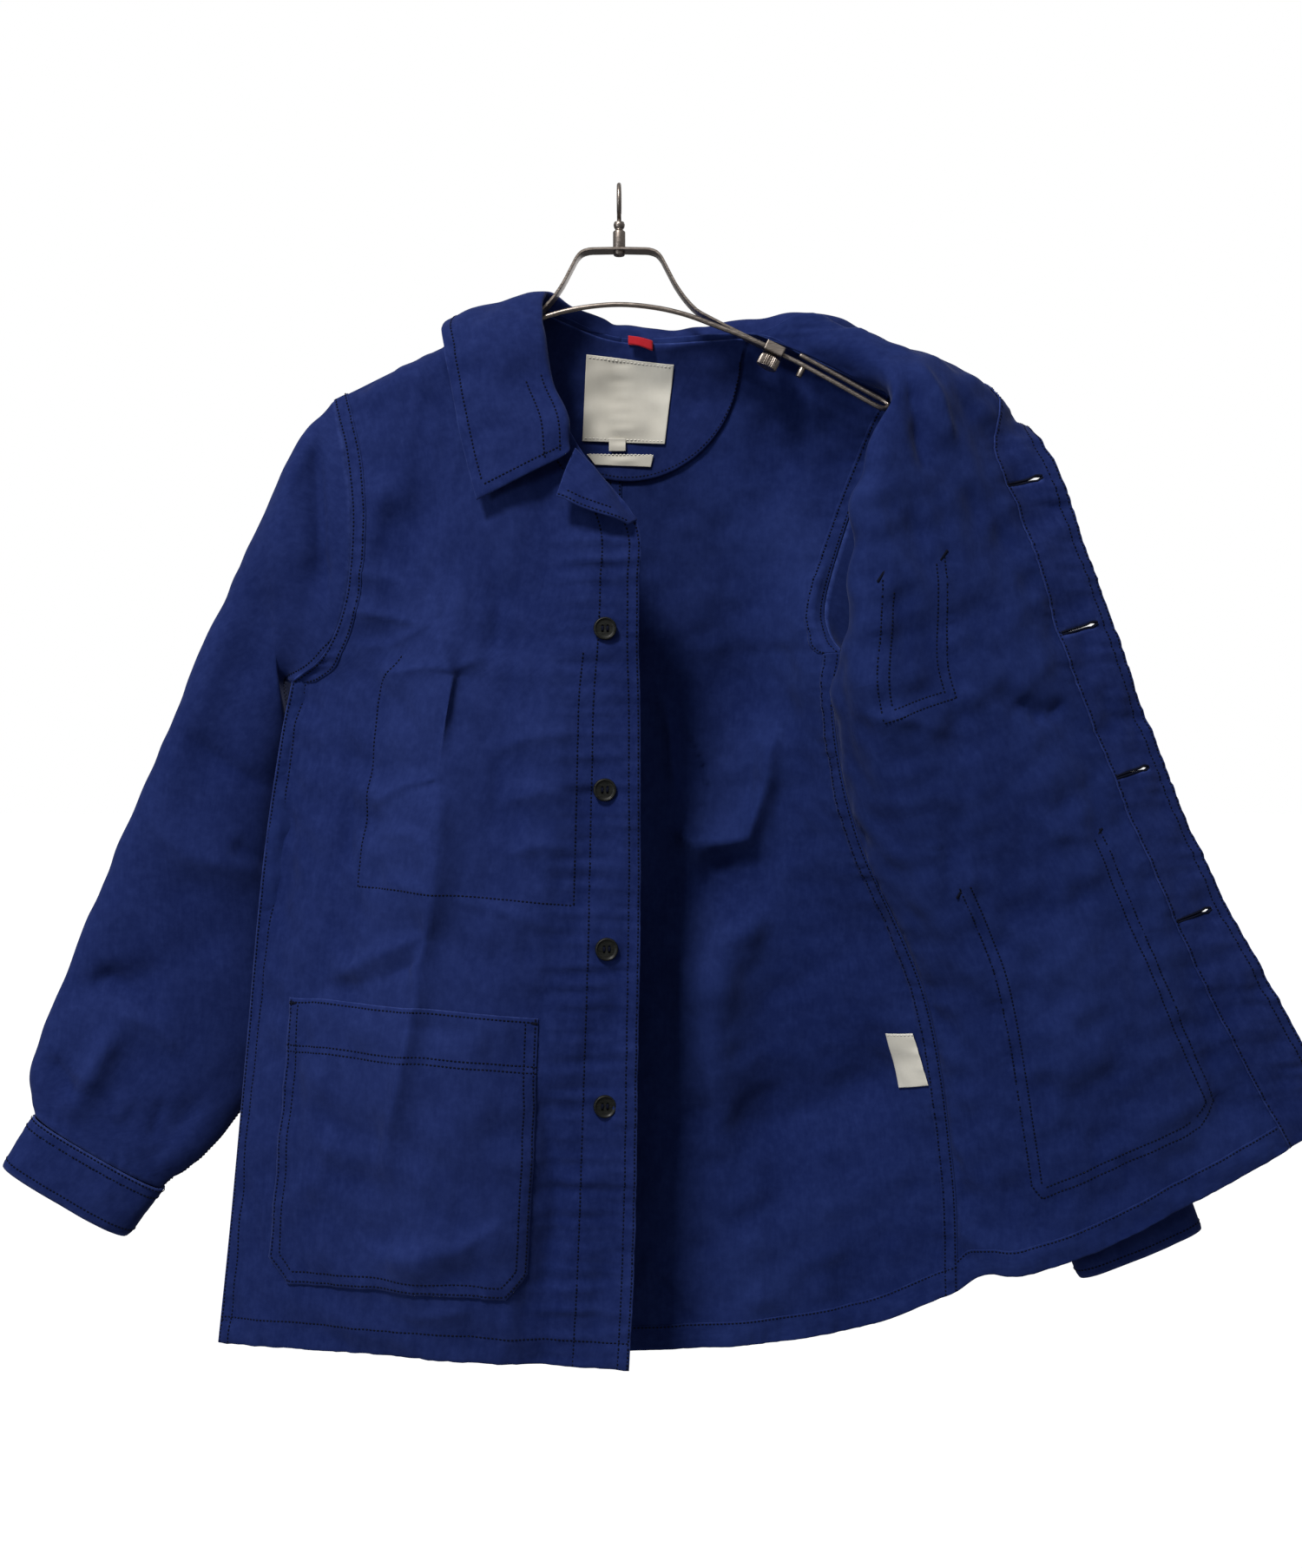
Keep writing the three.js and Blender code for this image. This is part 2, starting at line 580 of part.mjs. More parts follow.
// A closed wall of cloth on a patch, mitred where it meets its neighbours
function wall(patch, { lift = 0, thickness = CLOTH, meets = [], gap = SEAM_GAP } = {}) {
  const { points, normals, triangles, rim, inward } = patch;
  const count = points.length;
  const positions = new Float32Array(count * 6);
  points.forEach((p, i) => {
    const into = inward.get(i);
    const close = into ? meets.map((other) => nearestOnRim(other, p)) : [];
    const near = close.filter((other) => other.distance < SEAM_REACH);
    [lift + thickness / 2, lift - thickness / 2].forEach((height, face) => {
      const q = p.clone().addScaledVector(normals[i], height);
      if (into) q.addScaledVector(into, drawIn(p, normals[i], into, height, near, gap));
      q.toArray(positions, (face * count + i) * 3);
    });
  });
  const index = [];
  for (const [a, b, c] of triangles) {
    index.push(a, b, c);
    index.push(c + count, b + count, a + count);
  }
  for (const [a, b] of rim) {
    index.push(b, a, a + count);
    index.push(b, a + count, b + count);
  }
  const geometry = new THREE.BufferGeometry();
  geometry.setAttribute('position', new THREE.BufferAttribute(positions, 3));
  geometry.setIndex(index);
  geometry.computeVertexNormals();
  return geometry;
}

// The columns and rows of a surface that lie over a place across and up
function locate(surface, x, z, u, v) {
  const h = 0.01;
  for (let k = 0; k < 30; k += 1) {
    const p = surface(u, v);
    const du = surface(u + h, v).sub(p).divideScalar(h);
    const dv = surface(u, v + h).sub(p).divideScalar(h);
    const size = du.x * dv.z - dv.x * du.z;
    const dx = x - p.x;
    const dz = z - p.z;
    u += THREE.MathUtils.clamp((dx * dv.z - dz * dv.x) / size, -0.3, 0.3);
    v += THREE.MathUtils.clamp((dz * du.x - dx * du.z) / size, -0.3, 0.3);
  }
  return [u, v];
}

// A four-cornered label laid on a surface: u runs left to right, v from bottom to top.
function labelOn(surface, corners, u, v) {
  return (s, t) => {
    const place = [0, 1].map((axis) => mix(
      mix(corners.bottomLeft[axis], corners.bottomRight[axis], s),
      mix(corners.topLeft[axis], corners.topRight[axis], s),
      t,
    ));
    return surface(...locate(surface, place[0], place[1], u, v));
  };
}

const group = new THREE.Group();

function add(name, geometry, finish) {
  const mesh = new THREE.Mesh(geometry, new THREE.MeshStandardMaterial(FINISH[finish]));
  mesh.name = name;
  group.add(mesh);
  return mesh;
}

const frontColumns = ['side', 'outer', 'middle', 'inner', 'edge'];
const backColumns = [
  'sideR', 'outerR', 'middleR', 'innerR', 'centre', 'innerL', 'middleL', 'outerL', 'sideL',
];
const leftColumns = ['seam', 'fold', 'crest', 'middle', 'facing', 'edge'];
const collarColumns = ['seam', 'roll', 'fall', 'edge'];

const rightFront = panel(RIGHT_FRONT, frontColumns, RIGHT_FRONT_FOLDS, { side: [UNDERARM] });
const back = panel(BACK, backColumns, BACK_FOLDS, { sideR: [UNDERARM], sideL: [UNDERARM] });
const leftFront = panel(LEFT_FRONT, leftColumns, LEFT_FRONT_FOLDS, { seam: [UNDERARM], edge: [10] });
const collar = panel(COLLAR, collarColumns, []);
const lapel = panel(LAPEL, ['roll', 'middle', 'edge'], []);

const lowRows = (stops) => lines([0, ...stops, UNDERARM], 0.5).slice(0, -1);
const frontRows = [
  ...lowRows([
    HIP_POCKET.bottom, HIP_POCKET.bottom + HIP_POCKET.corner, HIP_POCKET.top, INNER_POCKET.bottom,
  ]),
  ...ARMHOLE_ROWS,
];
const frontStops = [
  0, HIP_POCKET.left, HIP_POCKET.left + HIP_POCKET.corner, INNER_POCKET.left, 2,
  HIP_POCKET.right - HIP_POCKET.corner, HIP_POCKET.right, INNER_POCKET.right, PLACKET.inner, 4,
];
const frontLines = lines(frontStops, 0.3);
const backRows = [...lowRows([]), ...ARMHOLE_ROWS];
const leftRows = [
  ...lowRows([
    LEFT_HIP_POCKET.bottom, LEFT_HIP_POCKET.bottom + LEFT_HIP_POCKET.corner,
    LEFT_HIP_POCKET.top, LEFT_CHEST_POCKET.bottom,
  ]),
  ...ARMHOLE_ROWS,
];
const leftStops = [
  0, 1, 2, LEFT_HIP_POCKET.left, LEFT_HIP_POCKET.left + LEFT_HIP_POCKET.corner, 3,
  LEFT_HIP_POCKET.right - LEFT_HIP_POCKET.corner, LEFT_HIP_POCKET.right, LEFT_FACING.inner, 5,
];
const leftLines = lines(leftStops, 0.34);

const between = (all, from, to) => all.filter((t) => t > from - 1e-6 && t < to + 1e-6);

function pocketNet(surface, us, vs, pocket) {
  const across = between(us, pocket.left, pocket.right);
  const up = between(vs, pocket.bottom, pocket.top);
  return net(surface, across, up, { corner: pocket.corner });
}

const rightFrontNet = net(rightFront, frontLines, frontRows);
const backRightNet = net(back, [...lines([0, 2.5], 0.5), ...lines([2.75, 4], 0.25)], backRows);
const backLeftNet = net(back, [...lines([4, 6], 0.25), ...lines([6.5, 8], 0.5)], backRows);
const leftFrontNet = net(leftFront, leftLines, leftRows);
const collarNet = net(collar, lines([0, 1, 1.5, 2, 3], 0.5), lines([0, 12], 0.5));
const lapelNet = net(lapel, [0, 1, 2], lines([0, 3], 0.5));

const rings = (ARMHOLE_ROWS.length - 1) * 2;
const roundLines = lines([0, 1], 1 / rings);
const rightArmhole = armholeOf((v) => rightFront(0, v), (v) => back(0, v));
const leftArmhole = armholeOf((v) => leftFront(0, v), (v) => back(8, v));
const rightSleeve = tube(RIGHT_SLEEVE, -1, 0.85, RIGHT_SLEEVE_FOLDS, rightArmhole);
const leftSleeve = tube(LEFT_SLEEVE, 1, 0.85, LEFT_SLEEVE_FOLDS, leftArmhole);
const rightCuff = tube(RIGHT_CUFF, -1, 0.7, []);
const leftCuff = tube(LEFT_CUFF, 1, 0.7, []);
const sleeveSections = lines([0, 9], 0.65);
const rightSleeveNet = net(rightSleeve, roundLines, sleeveSections, { closed: true });
const leftSleeveNet = net(leftSleeve, roundLines, sleeveSections, { closed: true });
const rightCuffNet = net(rightCuff, roundLines, lines([0, 2], 0.5), { closed: true });
const leftCuffNet = net(leftCuff, roundLines, lines([0, 2], 0.5), { closed: true });

add('front_right', wall(rightFrontNet, {
  meets: [backRightNet, rightSleeveNet, collarNet, lapelNet],
}), 'front');
add('front_left', wall(leftFrontNet, {
  meets: [backLeftNet, leftSleeveNet, collarNet], gap: SIDE_GAP,
}), 'inside');
add('back_right', wall(backRightNet, {
  meets: [rightFrontNet, backLeftNet, rightSleeveNet, collarNet], gap: SIDE_GAP,
}), 'back');
add('back_left', wall(backLeftNet, {
  meets: [leftFrontNet, backRightNet, leftSleeveNet, collarNet], gap: SIDE_GAP,
}), 'back');
add('sleeve_right', wall(rightSleeveNet, {
  meets: [rightFrontNet, backRightNet, rightCuffNet], gap: SIDE_GAP,
}), 'front');
add('sleeve_left', wall(leftSleeveNet, { meets: [leftFrontNet, backLeftNet, leftCuffNet] }), 'front');
add('cuff_right', wall(rightCuffNet, { meets: [rightSleeveNet], thickness: DOUBLE_CLOTH }), 'trim');
add('cuff_left', wall(leftCuffNet, { meets: [leftSleeveNet], thickness: DOUBLE_CLOTH }), 'trim');
add('collar', wall(collarNet, {
  meets: [backRightNet, backLeftNet, rightFrontNet, leftFrontNet, lapelNet], gap: LOOSE_GAP,
}), 'front');
add('lapel_right', wall(lapelNet, { meets: [rightFrontNet, collarNet] }), 'front');

// Patch pockets and facings lie on their panels, one layer out on the side where they are sewn.
const layer = CLOTH + LAYER_GAP;
const onRightFront = (pocket) => pocketNet(rightFront, frontLines, frontRows, pocket);
const onLeftFront = (pocket) => pocketNet(leftFront, leftLines, leftRows, pocket);
const rightFacingNet = net(
  rightFront,
  between(frontLines, PLACKET.inner, 4),
  between(frontRows, 0, PLACKET.top),
);
const leftFacingNet = net(
  leftFront,
  between(leftLines, LEFT_FACING.inner, 5),
  between(leftRows, 0, LEFT_FACING.top),
);
add('hip_pocket_right', wall(onRightFront(HIP_POCKET), { lift: layer }), 'trim');
add('inner_pocket_right', wall(onRightFront(INNER_POCKET), { lift: -layer }), 'inside');
add('facing_right', wall(rightFacingNet, { lift: -layer }), 'inside');
add('facing_left', wall(leftFacingNet, { lift: layer, meets: [collarNet], gap: LOOSE_GAP }), 'inside');
add('hip_pocket_left', wall(onLeftFront(LEFT_HIP_POCKET), { lift: -layer }), 'trim');
add('chest_pocket_left', wall(onLeftFront(LEFT_CHEST_POCKET), { lift: -layer }), 'trim');

// The half-moon facing inside the back neck runs from the neck seam down to half an ellipse.
function moon(s, t) {
  const top = back(mix(3, 5, s), TOP - 0.3);
  const x = MOON.x - MOON.across * Math.cos(Math.PI * s);
  const z = MOON.z - MOON.down * Math.sin(Math.PI * s);
  return back(...locate(back, mix(x, top.x, t), mix(z, top.z, t), mix(3, 5.5, s), 9.5));
}
const moonLift = CLOTH / 2 + FACING_GAP + CLOTH / 2;
const moonNet = net(moon, lines([0, 1], 0.1), lines([0, 1], 0.125));
add('neck_facing', wall(moonNet, { lift: moonLift }), 'inside');

const labelStart = [4, 10];
const labelLift = moonLift + CLOTH / 2 + 1.3;
const labels = [
  { name: 'label_main', corners: MAIN_LABEL, lift: labelLift, finish: 'label' },
  { name: 'size_tab', corners: SIZE_TAB, lift: labelLift + PAPER + 0.5, finish: 'label' },
  { name: 'label_strip', corners: STRIP_LABEL, lift: labelLift, finish: 'label' },
];
for (const { name, corners, lift, finish } of labels) {
  const patch = net(labelOn(back, corners, ...labelStart), lines([0, 1], 0.2), lines([0, 1], 0.2));
  add(name, wall(patch, { lift, thickness: PAPER }), finish);
}
const carePatch = net(labelOn(back, CARE_LABEL, 7.6, 1.8), lines([0, 1], 0.25), lines([0, 1], 0.25));
add('care_label', wall(carePatch, { lift: CLOTH + LOOSE_GAP, thickness: PAPER }), 'label');

// The hanging loop is a short tape folded in a drop, sewn in at the neck seam.
const LOOP = [
  { at: 'root', near: [6, 26, -102], far: [6, 26, -96.5] },
  { at: 'top', near: [14, 24.4, -103.5], far: [14, 24.4, -97.5] },
  { at: 'turn', near: [22, 22.6, -107], far: [22, 22.6, -100.5] },
  { at: 'return', near: [22, 19.8, -107], far: [22, 19.8, -100.5] },
  { at: 'bottom', near: [14, 19, -104.5], far: [14, 19, -98.5] },
  { at: 'end', near: [6, 20.5, -102.5], far: [6, 20.5, -97] },
];
const loop = panel(LOOP, ['near', 'far'], []);
add('hanging_loop', wall(net(loop, [0, 1], lines([0, 5], 0.5)), { thickness: PAPER }), 'loop');

// A round piece turned about its own upright axis
function turned(profile, segments) {
  const geometry = new THREE.LatheGeometry(profile.map(([r, z]) => new THREE.Vector2(r, z)), segments);
  return geometry.rotateX(Math.PI / 2);
}

// Buttons stand on the right front along its own direction.
const buttonProfile = [
  [0, 0],
  [BUTTON_RADIUS - 1, 0],
  [BUTTON_RADIUS, 1.2],
  [BUTTON_RADIUS - 0.5, BUTTON_HEIGHT - 0.4],
  [BUTTON_RADIUS - 1.2, BUTTON_HEIGHT],
  [BUTTON_RADIUS - BUTTON_RIM, BUTTON_HEIGHT - BUTTON_DISH],
  [0, BUTTON_HEIGHT - BUTTON_DISH],
];
for (const { at, x, z } of BUTTONS) {
  const [u, v] = locate(rightFront, x, z, 3.7, 5);
  const normal = faceNormal(rightFront, u, v);
  const button = add(at, turned(buttonProfile, 20), 'horn');
  button.quaternion.setFromUnitVectors(new THREE.Vector3(0, 0, 1), normal);
  button.position.copy(rightFront(u, v)).addScaledVector(normal, CLOTH / 2 + SEAM_GAP);
}

// A round rod along a path
function rod(path, radius, steps) {
  const ring = new THREE.Shape();
  ring.absarc(0, 0, radius, 0, 2 * Math.PI);
  const settings = { extrudePath: path, steps, curveSegments: 5, bevelEnabled: false };
  return new THREE.ExtrudeGeometry(ring, settings);
}

// The hook stands in the Y-Z plane; its open end points back.
const hookStops = [
  [0, -22.6],
  [-0.9, -21.2],
  [-3.4, -19.8],
  ...[-48, -25, 0, 30, 60, 90, 120, 150, 180, 203].map((degrees) => {
    const angle = THREE.MathUtils.degToRad(degrees);
    return [-HOOK_BEND * Math.cos(angle), HOOK_BEND * (Math.sin(angle) - 1) + HOOK_ROD];
  }),
];
const hookPath = new THREE.CatmullRomCurve3(hookStops.map(([y, z]) => new THREE.Vector3(0, y, z)));
add('hook', rod(hookPath, HOOK_ROD, 36), 'steel');

const FERRULE = [
  [0, -42],
  [4.3, -42],
  [4.3, -30.6],
  [3.2, -29.8],
  [2.6, -28.9],
  [3.6, -27.6],
  [4, -25.8],
  [3.4, -23.8],
  [0, -23.8],
];
add('ferrule', turned(FERRULE, 18), 'steel');

// The neck strap is a flat ribbon bent into an arch, the same on both sides.
const STRAP = [
  [0, -42.4], [21, -42.8], [26.5, -44.6], [30, -48.5], [39.5, -67], [46, -76.5], [54, -85.2],
  [70, -93.6], [100.6, -108.9],
];

function ribbon(line, thickness, width) {
  const whole = [...line.slice(1).reverse().map(([x, z]) => [-x, z]), ...line];
  const outside = whole.map(([x, z]) => new THREE.Vector2(x, z));
  const inside = outside.map((p, i) => {
    const before = outside[Math.max(0, i - 1)];
    const after = outside[Math.min(outside.length - 1, i + 1)];
    const a = p.clone().sub(before);
    const b = after.clone().sub(p);
    const along = a.normalize().add(b.normalize()).normalize();
    return new THREE.Vector2(p.x + along.y * thickness, p.y - along.x * thickness);
  });
  const shape = new THREE.Shape([...outside, ...inside.reverse()]);
  const geometry = new THREE.ExtrudeGeometry(shape, { depth: width, bevelEnabled: false });
  return geometry.rotateX(Math.PI / 2).translate(0, width / 2, 0);
}
add('neck_strap', ribbon(STRAP, STRAP_THICK, STRAP_WIDE), 'steel');

// The bow rod arches in front of the strap from one clamp to the other.
const BOW = [[0, -83], [24, -85], [46, -90], [69, -98.5], [85, -104.6], [99.8, -110.9]];
const BOW_FRONT = -8.8;
const bowStops = [...BOW.slice(1).reverse().map(([x, z]) => [-x, z]), ...BOW];
const bowPath = new THREE.CatmullRomCurve3(bowStops.map(([x, z]) => new THREE.Vector3(x, BOW_FRONT, z)));
add('bow_rod', rod(bowPath, ROD, 30), 'steel');

// Each arm has a clamp, a thumb screw and a pin under it, and a rod loop out to the shoulder.
const ARM = [
  [113.6, -1.5, -116.3], [126, -2.2, -122.6], [150, -3, -136], [172, -3.2, -148.5], [182, -2.4, -153],
  [186.3, -0.6, -150.5], [182, 1, -146.6], [172, 1, -141.2], [150, 1, -129], [126, 1, -115.75],
];
const PIN = { x: 125.1, y: -2.2, z: -128.2 };
const tilt = Math.atan(ARM_SLOPE);
const SCREW = [
  [0, -13], [6.2, -13], [7, -12.2], [7, -5.6], [6.2, -4.8], [3, -4.6], [3, -3.9], [0, -3.9],
];
for (const [side, sign] of [['left', 1], ['right', -1]]) {
  const clamp = new THREE.BoxGeometry(14, 17.5, 7).rotateY(sign * tilt);
  add(`clamp_${side}`, clamp.translate(sign * CLAMP_AT, -1.5, -CLAMP_DROP), 'steel');
  const screw = turned(SCREW, 18);
  screw.rotateY(sign * tilt).translate(sign * CLAMP_AT, -1.5, -CLAMP_DROP);
  add(`thumb_screw_${side}`, screw, 'steel');
  const arm = new THREE.CatmullRomCurve3(ARM.map(([x, y, z]) => new THREE.Vector3(sign * x, y, z)));
  add(`arm_${side}`, rod(arm, ROD, 44), 'steel');
  const pin = turned([[0, -3.4], [2.2, -3.4], [2.2, 3.4], [0, 3.4]], 16);
  add(`pin_${side}`, pin.rotateY(sign * tilt).translate(sign * PIN.x, PIN.y, PIN.z), 'steel');
}

export default group;
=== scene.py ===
# %% [markdown]
# # A navy chore jacket hanging open on a steel hanger
#
# The jacket hangs from its shoulders on two rod arms. Its right front falls straight, and its left front
# is turned back like a page, so that the inside of the back and the facing show.
# The CAD model is the fixed frame: every piece here is made in the same place and the same size.
# Sizes in this script are real millimetres, and a mesh is scaled to metres as it is made.

# %% Load the fixed frame
import math

import bmesh
import bpy
import numpy as np
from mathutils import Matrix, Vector


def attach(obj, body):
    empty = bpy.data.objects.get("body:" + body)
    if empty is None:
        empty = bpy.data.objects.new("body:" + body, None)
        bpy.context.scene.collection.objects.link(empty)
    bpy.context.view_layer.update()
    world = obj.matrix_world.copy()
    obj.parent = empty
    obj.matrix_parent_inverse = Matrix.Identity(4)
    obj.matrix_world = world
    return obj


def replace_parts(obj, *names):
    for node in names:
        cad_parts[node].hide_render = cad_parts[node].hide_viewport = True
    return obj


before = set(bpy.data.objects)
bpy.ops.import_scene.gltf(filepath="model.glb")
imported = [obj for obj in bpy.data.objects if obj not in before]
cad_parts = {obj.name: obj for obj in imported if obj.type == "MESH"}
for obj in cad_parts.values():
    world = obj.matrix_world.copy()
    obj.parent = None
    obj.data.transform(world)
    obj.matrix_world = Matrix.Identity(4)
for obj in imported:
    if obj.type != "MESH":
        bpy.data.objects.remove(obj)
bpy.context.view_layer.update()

MM = 0.001


def add_object(name, data):
    """Puts a new object with this data into the scene."""
    new = bpy.data.objects.new(name, data)
    bpy.context.scene.collection.objects.link(new)
    return new


print("CAD nodes:", len(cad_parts))

# %% [markdown]
# The photograph was taken level, a little below the chest, from about 1.25 m away.
# A camera can be turned by its angles or aimed at a target. Here it is level and square to the jacket,
# so one right angle is enough, and the lens is worked out from the width that the picture takes in.

# %% Camera
CAMERA_AT = (22, -1250, -412)
PICTURE_PIXELS = 1806
MM_PER_PIXEL = 0.6
SENSOR = 36

camera_data = bpy.data.cameras.new("camera")
camera_data.sensor_width = SENSOR
camera_data.lens = SENSOR * -CAMERA_AT[1] / (PICTURE_PIXELS * MM_PER_PIXEL)
camera = add_object("camera", camera_data)
camera.location = Vector(CAMERA_AT) * MM
camera.rotation_euler = (math.pi / 2, 0, 0)
bpy.context.scene.camera = camera
bpy.context.scene.view_settings.view_transform = "Standard"
print("lens", round(camera_data.lens, 2), "mm")

# %% [markdown]
# The main light is high on the left and nearly in front, so that folds are bright above and dark below.
# A weaker lamp low on the left models the upright folds, as a window beside the photographer would.
# A sky of one pale colour fills the shadows, and a pale floor stands well below the hem.
# The floor and the sky look white but give little light: an emitting backdrop would flatten every fold.

# %% Light, sky and floor
SKY_LIGHT = 0.31
SKY_SEEN = 1.0
FLOOR_AT = -1450
FLOOR_REACH = 60000
FLOOR_GREY = 0.18
LAMPS_AIM_AT = (0, 0, -400)
LAMPS = {
    "key": {"at": (-1100, -2200, 2200), "size": 650, "power": 112, "colour": (1, 0.97, 0.93)},
    "fill": {"at": (-1500, -1800, -400), "size": 500, "power": 9, "colour": (0.9, 0.95, 1)},
    "back": {"at": (300, 1500, 500), "size": 1300, "power": 6, "colour": (1, 1, 1)},
}

world = bpy.data.worlds.new("studio")
world.use_nodes = True
bpy.context.scene.world = world
sky = world.node_tree.nodes["Background"]
sky.inputs["Color"].default_value = (1, 1, 1, 1)
seen = world.node_tree.nodes.new("ShaderNodeLightPath")
strength = world.node_tree.nodes.new("ShaderNodeMapRange")
strength.inputs["To Min"].default_value = SKY_LIGHT
strength.inputs["To Max"].default_value = SKY_SEEN
world.node_tree.links.new(seen.outputs["Is Camera Ray"], strength.inputs["Value"])
world.node_tree.links.new(strength.outputs["Result"], sky.inputs["Strength"])

for name, lamp in LAMPS.items():
    light = bpy.data.lights.new(name, "AREA")
    light.size = lamp["size"] * MM
    light.energy = lamp["power"]
    light.color = lamp["colour"]
    holder = add_object(name, light)
    holder.location = Vector(lamp["at"]) * MM
    aim = Vector(LAMPS_AIM_AT) * MM - holder.location
    holder.rotation_euler = aim.to_track_quat("-Z", "Y").to_euler()

floor_mesh = bpy.data.meshes.new("floor")
corners = [(x * FLOOR_REACH, y * FLOOR_REACH) for x, y in ((-1, -1), (1, -1), (1, 1), (-1, 1))]
floor_mesh.from_pydata([(x * MM, y * MM, FLOOR_AT * MM) for x, y in corners], [], [(0, 1, 2, 3)])
floor = add_object("floor", floor_mesh)
floor_paint = bpy.data.materials.new("floor paint")
floor_paint.use_nodes = True
paint = floor_paint.node_tree.nodes["Principled BSDF"]
paint.inputs["Base Color"].default_value = (FLOOR_GREY, FLOOR_GREY, FLOOR_GREY, 1)
paint.inputs["Roughness"].default_value = 0.8
paint.inputs["Emission Color"].default_value = (1, 1, 1, 1)
floor_seen = floor_paint.node_tree.nodes.new("ShaderNodeLightPath")
floor_paint.node_tree.links.new(floor_seen.outputs["Is Camera Ray"], paint.inputs["Emission Strength"])
floor_mesh.materials.append(floor_paint)
print("lamps:", ", ".join(LAMPS))

# %% [markdown]
# Each cut piece of cloth has a table of places: one row for each level from hem to shoulder, and in it
# one point for each column, from one edge of the piece to the other.
# A pattern maker's draft does the same with its cross marks. Sleeves are sections: the outer crease,
# the inner crease and the thickness between. A fold runs from one place (across, up) to another and has
# a width and a depth, and a negative depth is a ridge.

# %% Tables of the cut pieces
RIGHT_FRONT = {
    "hem": [(-279, 8, -800), (-202, -20, -798), (-131, -32, -799), (-62, -30, -804), (7, -26, -808)],
    "hip": [(-270, 8, -712), (-194, -26, -709), (-124, -42, -709), (-57, -38, -715), (11, -28, -722)],
    "pocket": [(-259, 8, -591), (-185, -28, -592), (-117, -44, -595), (-52, -40, -601), (13, -30, -608)],
    "waist": [(-248, 7, -471), (-177, -24, -475), (-112, -38, -480), (-48, -38, -486), (15, -32, -492)],
    "ribs": [(-236, 6, -386), (-169, -20, -393), (-106, -34, -399), (-45, -38, -404), (15, -34, -410)],
    "underarm": [(-227, 4, -341), (-163, -18, -346), (-102, -32, -350), (-43, -38, -354),
        (15, -35, -358)],
    "scye": [(-202, -9, -322), (-146, -23, -322), (-92, -33, -322), (-38, -38, -321), (14, -35, -320)],
    "blade": [(-186, -18, -286), (-135, -27, -284), (-85, -34, -282), (-35, -37, -280), (14, -34, -277)],
    "chest": [(-181, -22, -233), (-132, -27, -234), (-84, -32, -235), (-36, -34, -235), (12, -33, -235)],
    "collarbone": [(-186, -16, -188), (-145, -24, -189), (-104, -28, -189), (-64, -30, -188),
        (-24, -30, -188)],
    "yoke": [(-192, -8, -164), (-157, -20, -157), (-122, -24, -149), (-88, -24, -140), (-53, -21, -131)],
    "ridge": [(-195, -3, -153), (-162, -16, -140), (-128, -19, -123), (-95, -19, -107), (-61, -14, -89)],
    "shoulder": [(-197, 2, -147), (-163, 1, -131), (-129, 1, -114.2), (-96, 1, -98), (-62, 4, -80)],
}
BACK = {
    "hem": [(-279, 8, -800), (-212, 28, -805), (-143, 40, -808), (-71, 44, -814), (1, 40, -816),
        (61, 38, -813), (122, 44, -809), (182, 46, -799), (240, 32, -771)],
    "hip": [(-270, 8, -712), (-206, 26, -720), (-138, 40, -727), (-69, 46, -733), (1, 44, -736),
        (60, 42, -723), (120, 48, -712), (179, 46, -698), (236, 30, -682)],
    "pocket": [(-259, 8, -591), (-196, 24, -597), (-132, 38, -603), (-66, 46, -608), (1, 48, -613),
        (55, 48, -601), (110, 52, -589), (165, 46, -576), (216, 24, -562)],
    "waist": [(-248, 7, -471), (-188, 22, -476), (-126, 36, -481), (-63, 46, -486), (1, 50, -491),
        (44, 54, -481), (87, 56, -471), (129, 44, -460), (168, 16, -449)],
    "ribs": [(-236, 6, -386), (-179, 20, -386), (-120, 34, -385), (-60, 44, -385), (1, 50, -385),
        (39, 56, -380), (78, 58, -375), (116, 42, -371), (150, 6, -367)],
    "underarm": [(-227, 4, -341), (-172, 20, -340), (-116, 34, -339), (-58, 44, -339), (1, 50, -338),
        (40, 56, -333), (80, 56, -328), (119, 40, -324), (154, 2, -321)],
    "scye": [(-211, 18, -320), (-159, 28, -317), (-107, 38, -313), (-53, 44, -310), (1, 48, -307),
        (38, 52, -306), (75, 52, -305), (112, 40, -305), (146, 14, -306)],
    "blade": [(-201, 28, -281), (-151, 34, -277), (-101, 40, -272), (-50, 44, -268), (1, 46, -264),
        (37, 48, -268), (74, 48, -272), (110, 40, -276), (145, 24, -282)],
    "chest": [(-197, 32, -226), (-148, 36, -221), (-99, 40, -217), (-49, 42, -212), (1, 44, -208),
        (41, 44, -213), (81, 44, -218), (121, 42, -223), (161, 36, -228)],
    "collarbone": [(-195, 22, -181), (-152, 30, -167), (-108, 36, -157), (-53, 38, -152),
        (1, 40, -151), (47, 38, -154), (91, 36, -160), (136, 34, -170), (178, 28, -183)],
    "yoke": [(-195, 10, -161), (-152, 21, -146), (-107, 28, -126), (-54, 32, -114), (1, 36, -119),
        (49, 33, -123), (93, 28, -129), (140, 24, -146), (187, 16, -161)],
    "ridge": [(-196, 6, -153), (-152, 14, -132), (-105, 16, -108), (-59, 19, -90), (1, 33, -106),
        (81, 18, -107), (119, 15, -117), (157, 13, -134), (193, 10, -151)],
    "shoulder": [(-197, 2, -147), (-152, 1, -125), (-104, 1, -102), (-62, 4, -80), (1, 30, -96),
        (92, 6, -99), (127, 4, -114), (162, 3, -130), (197, 4, -144)],
}
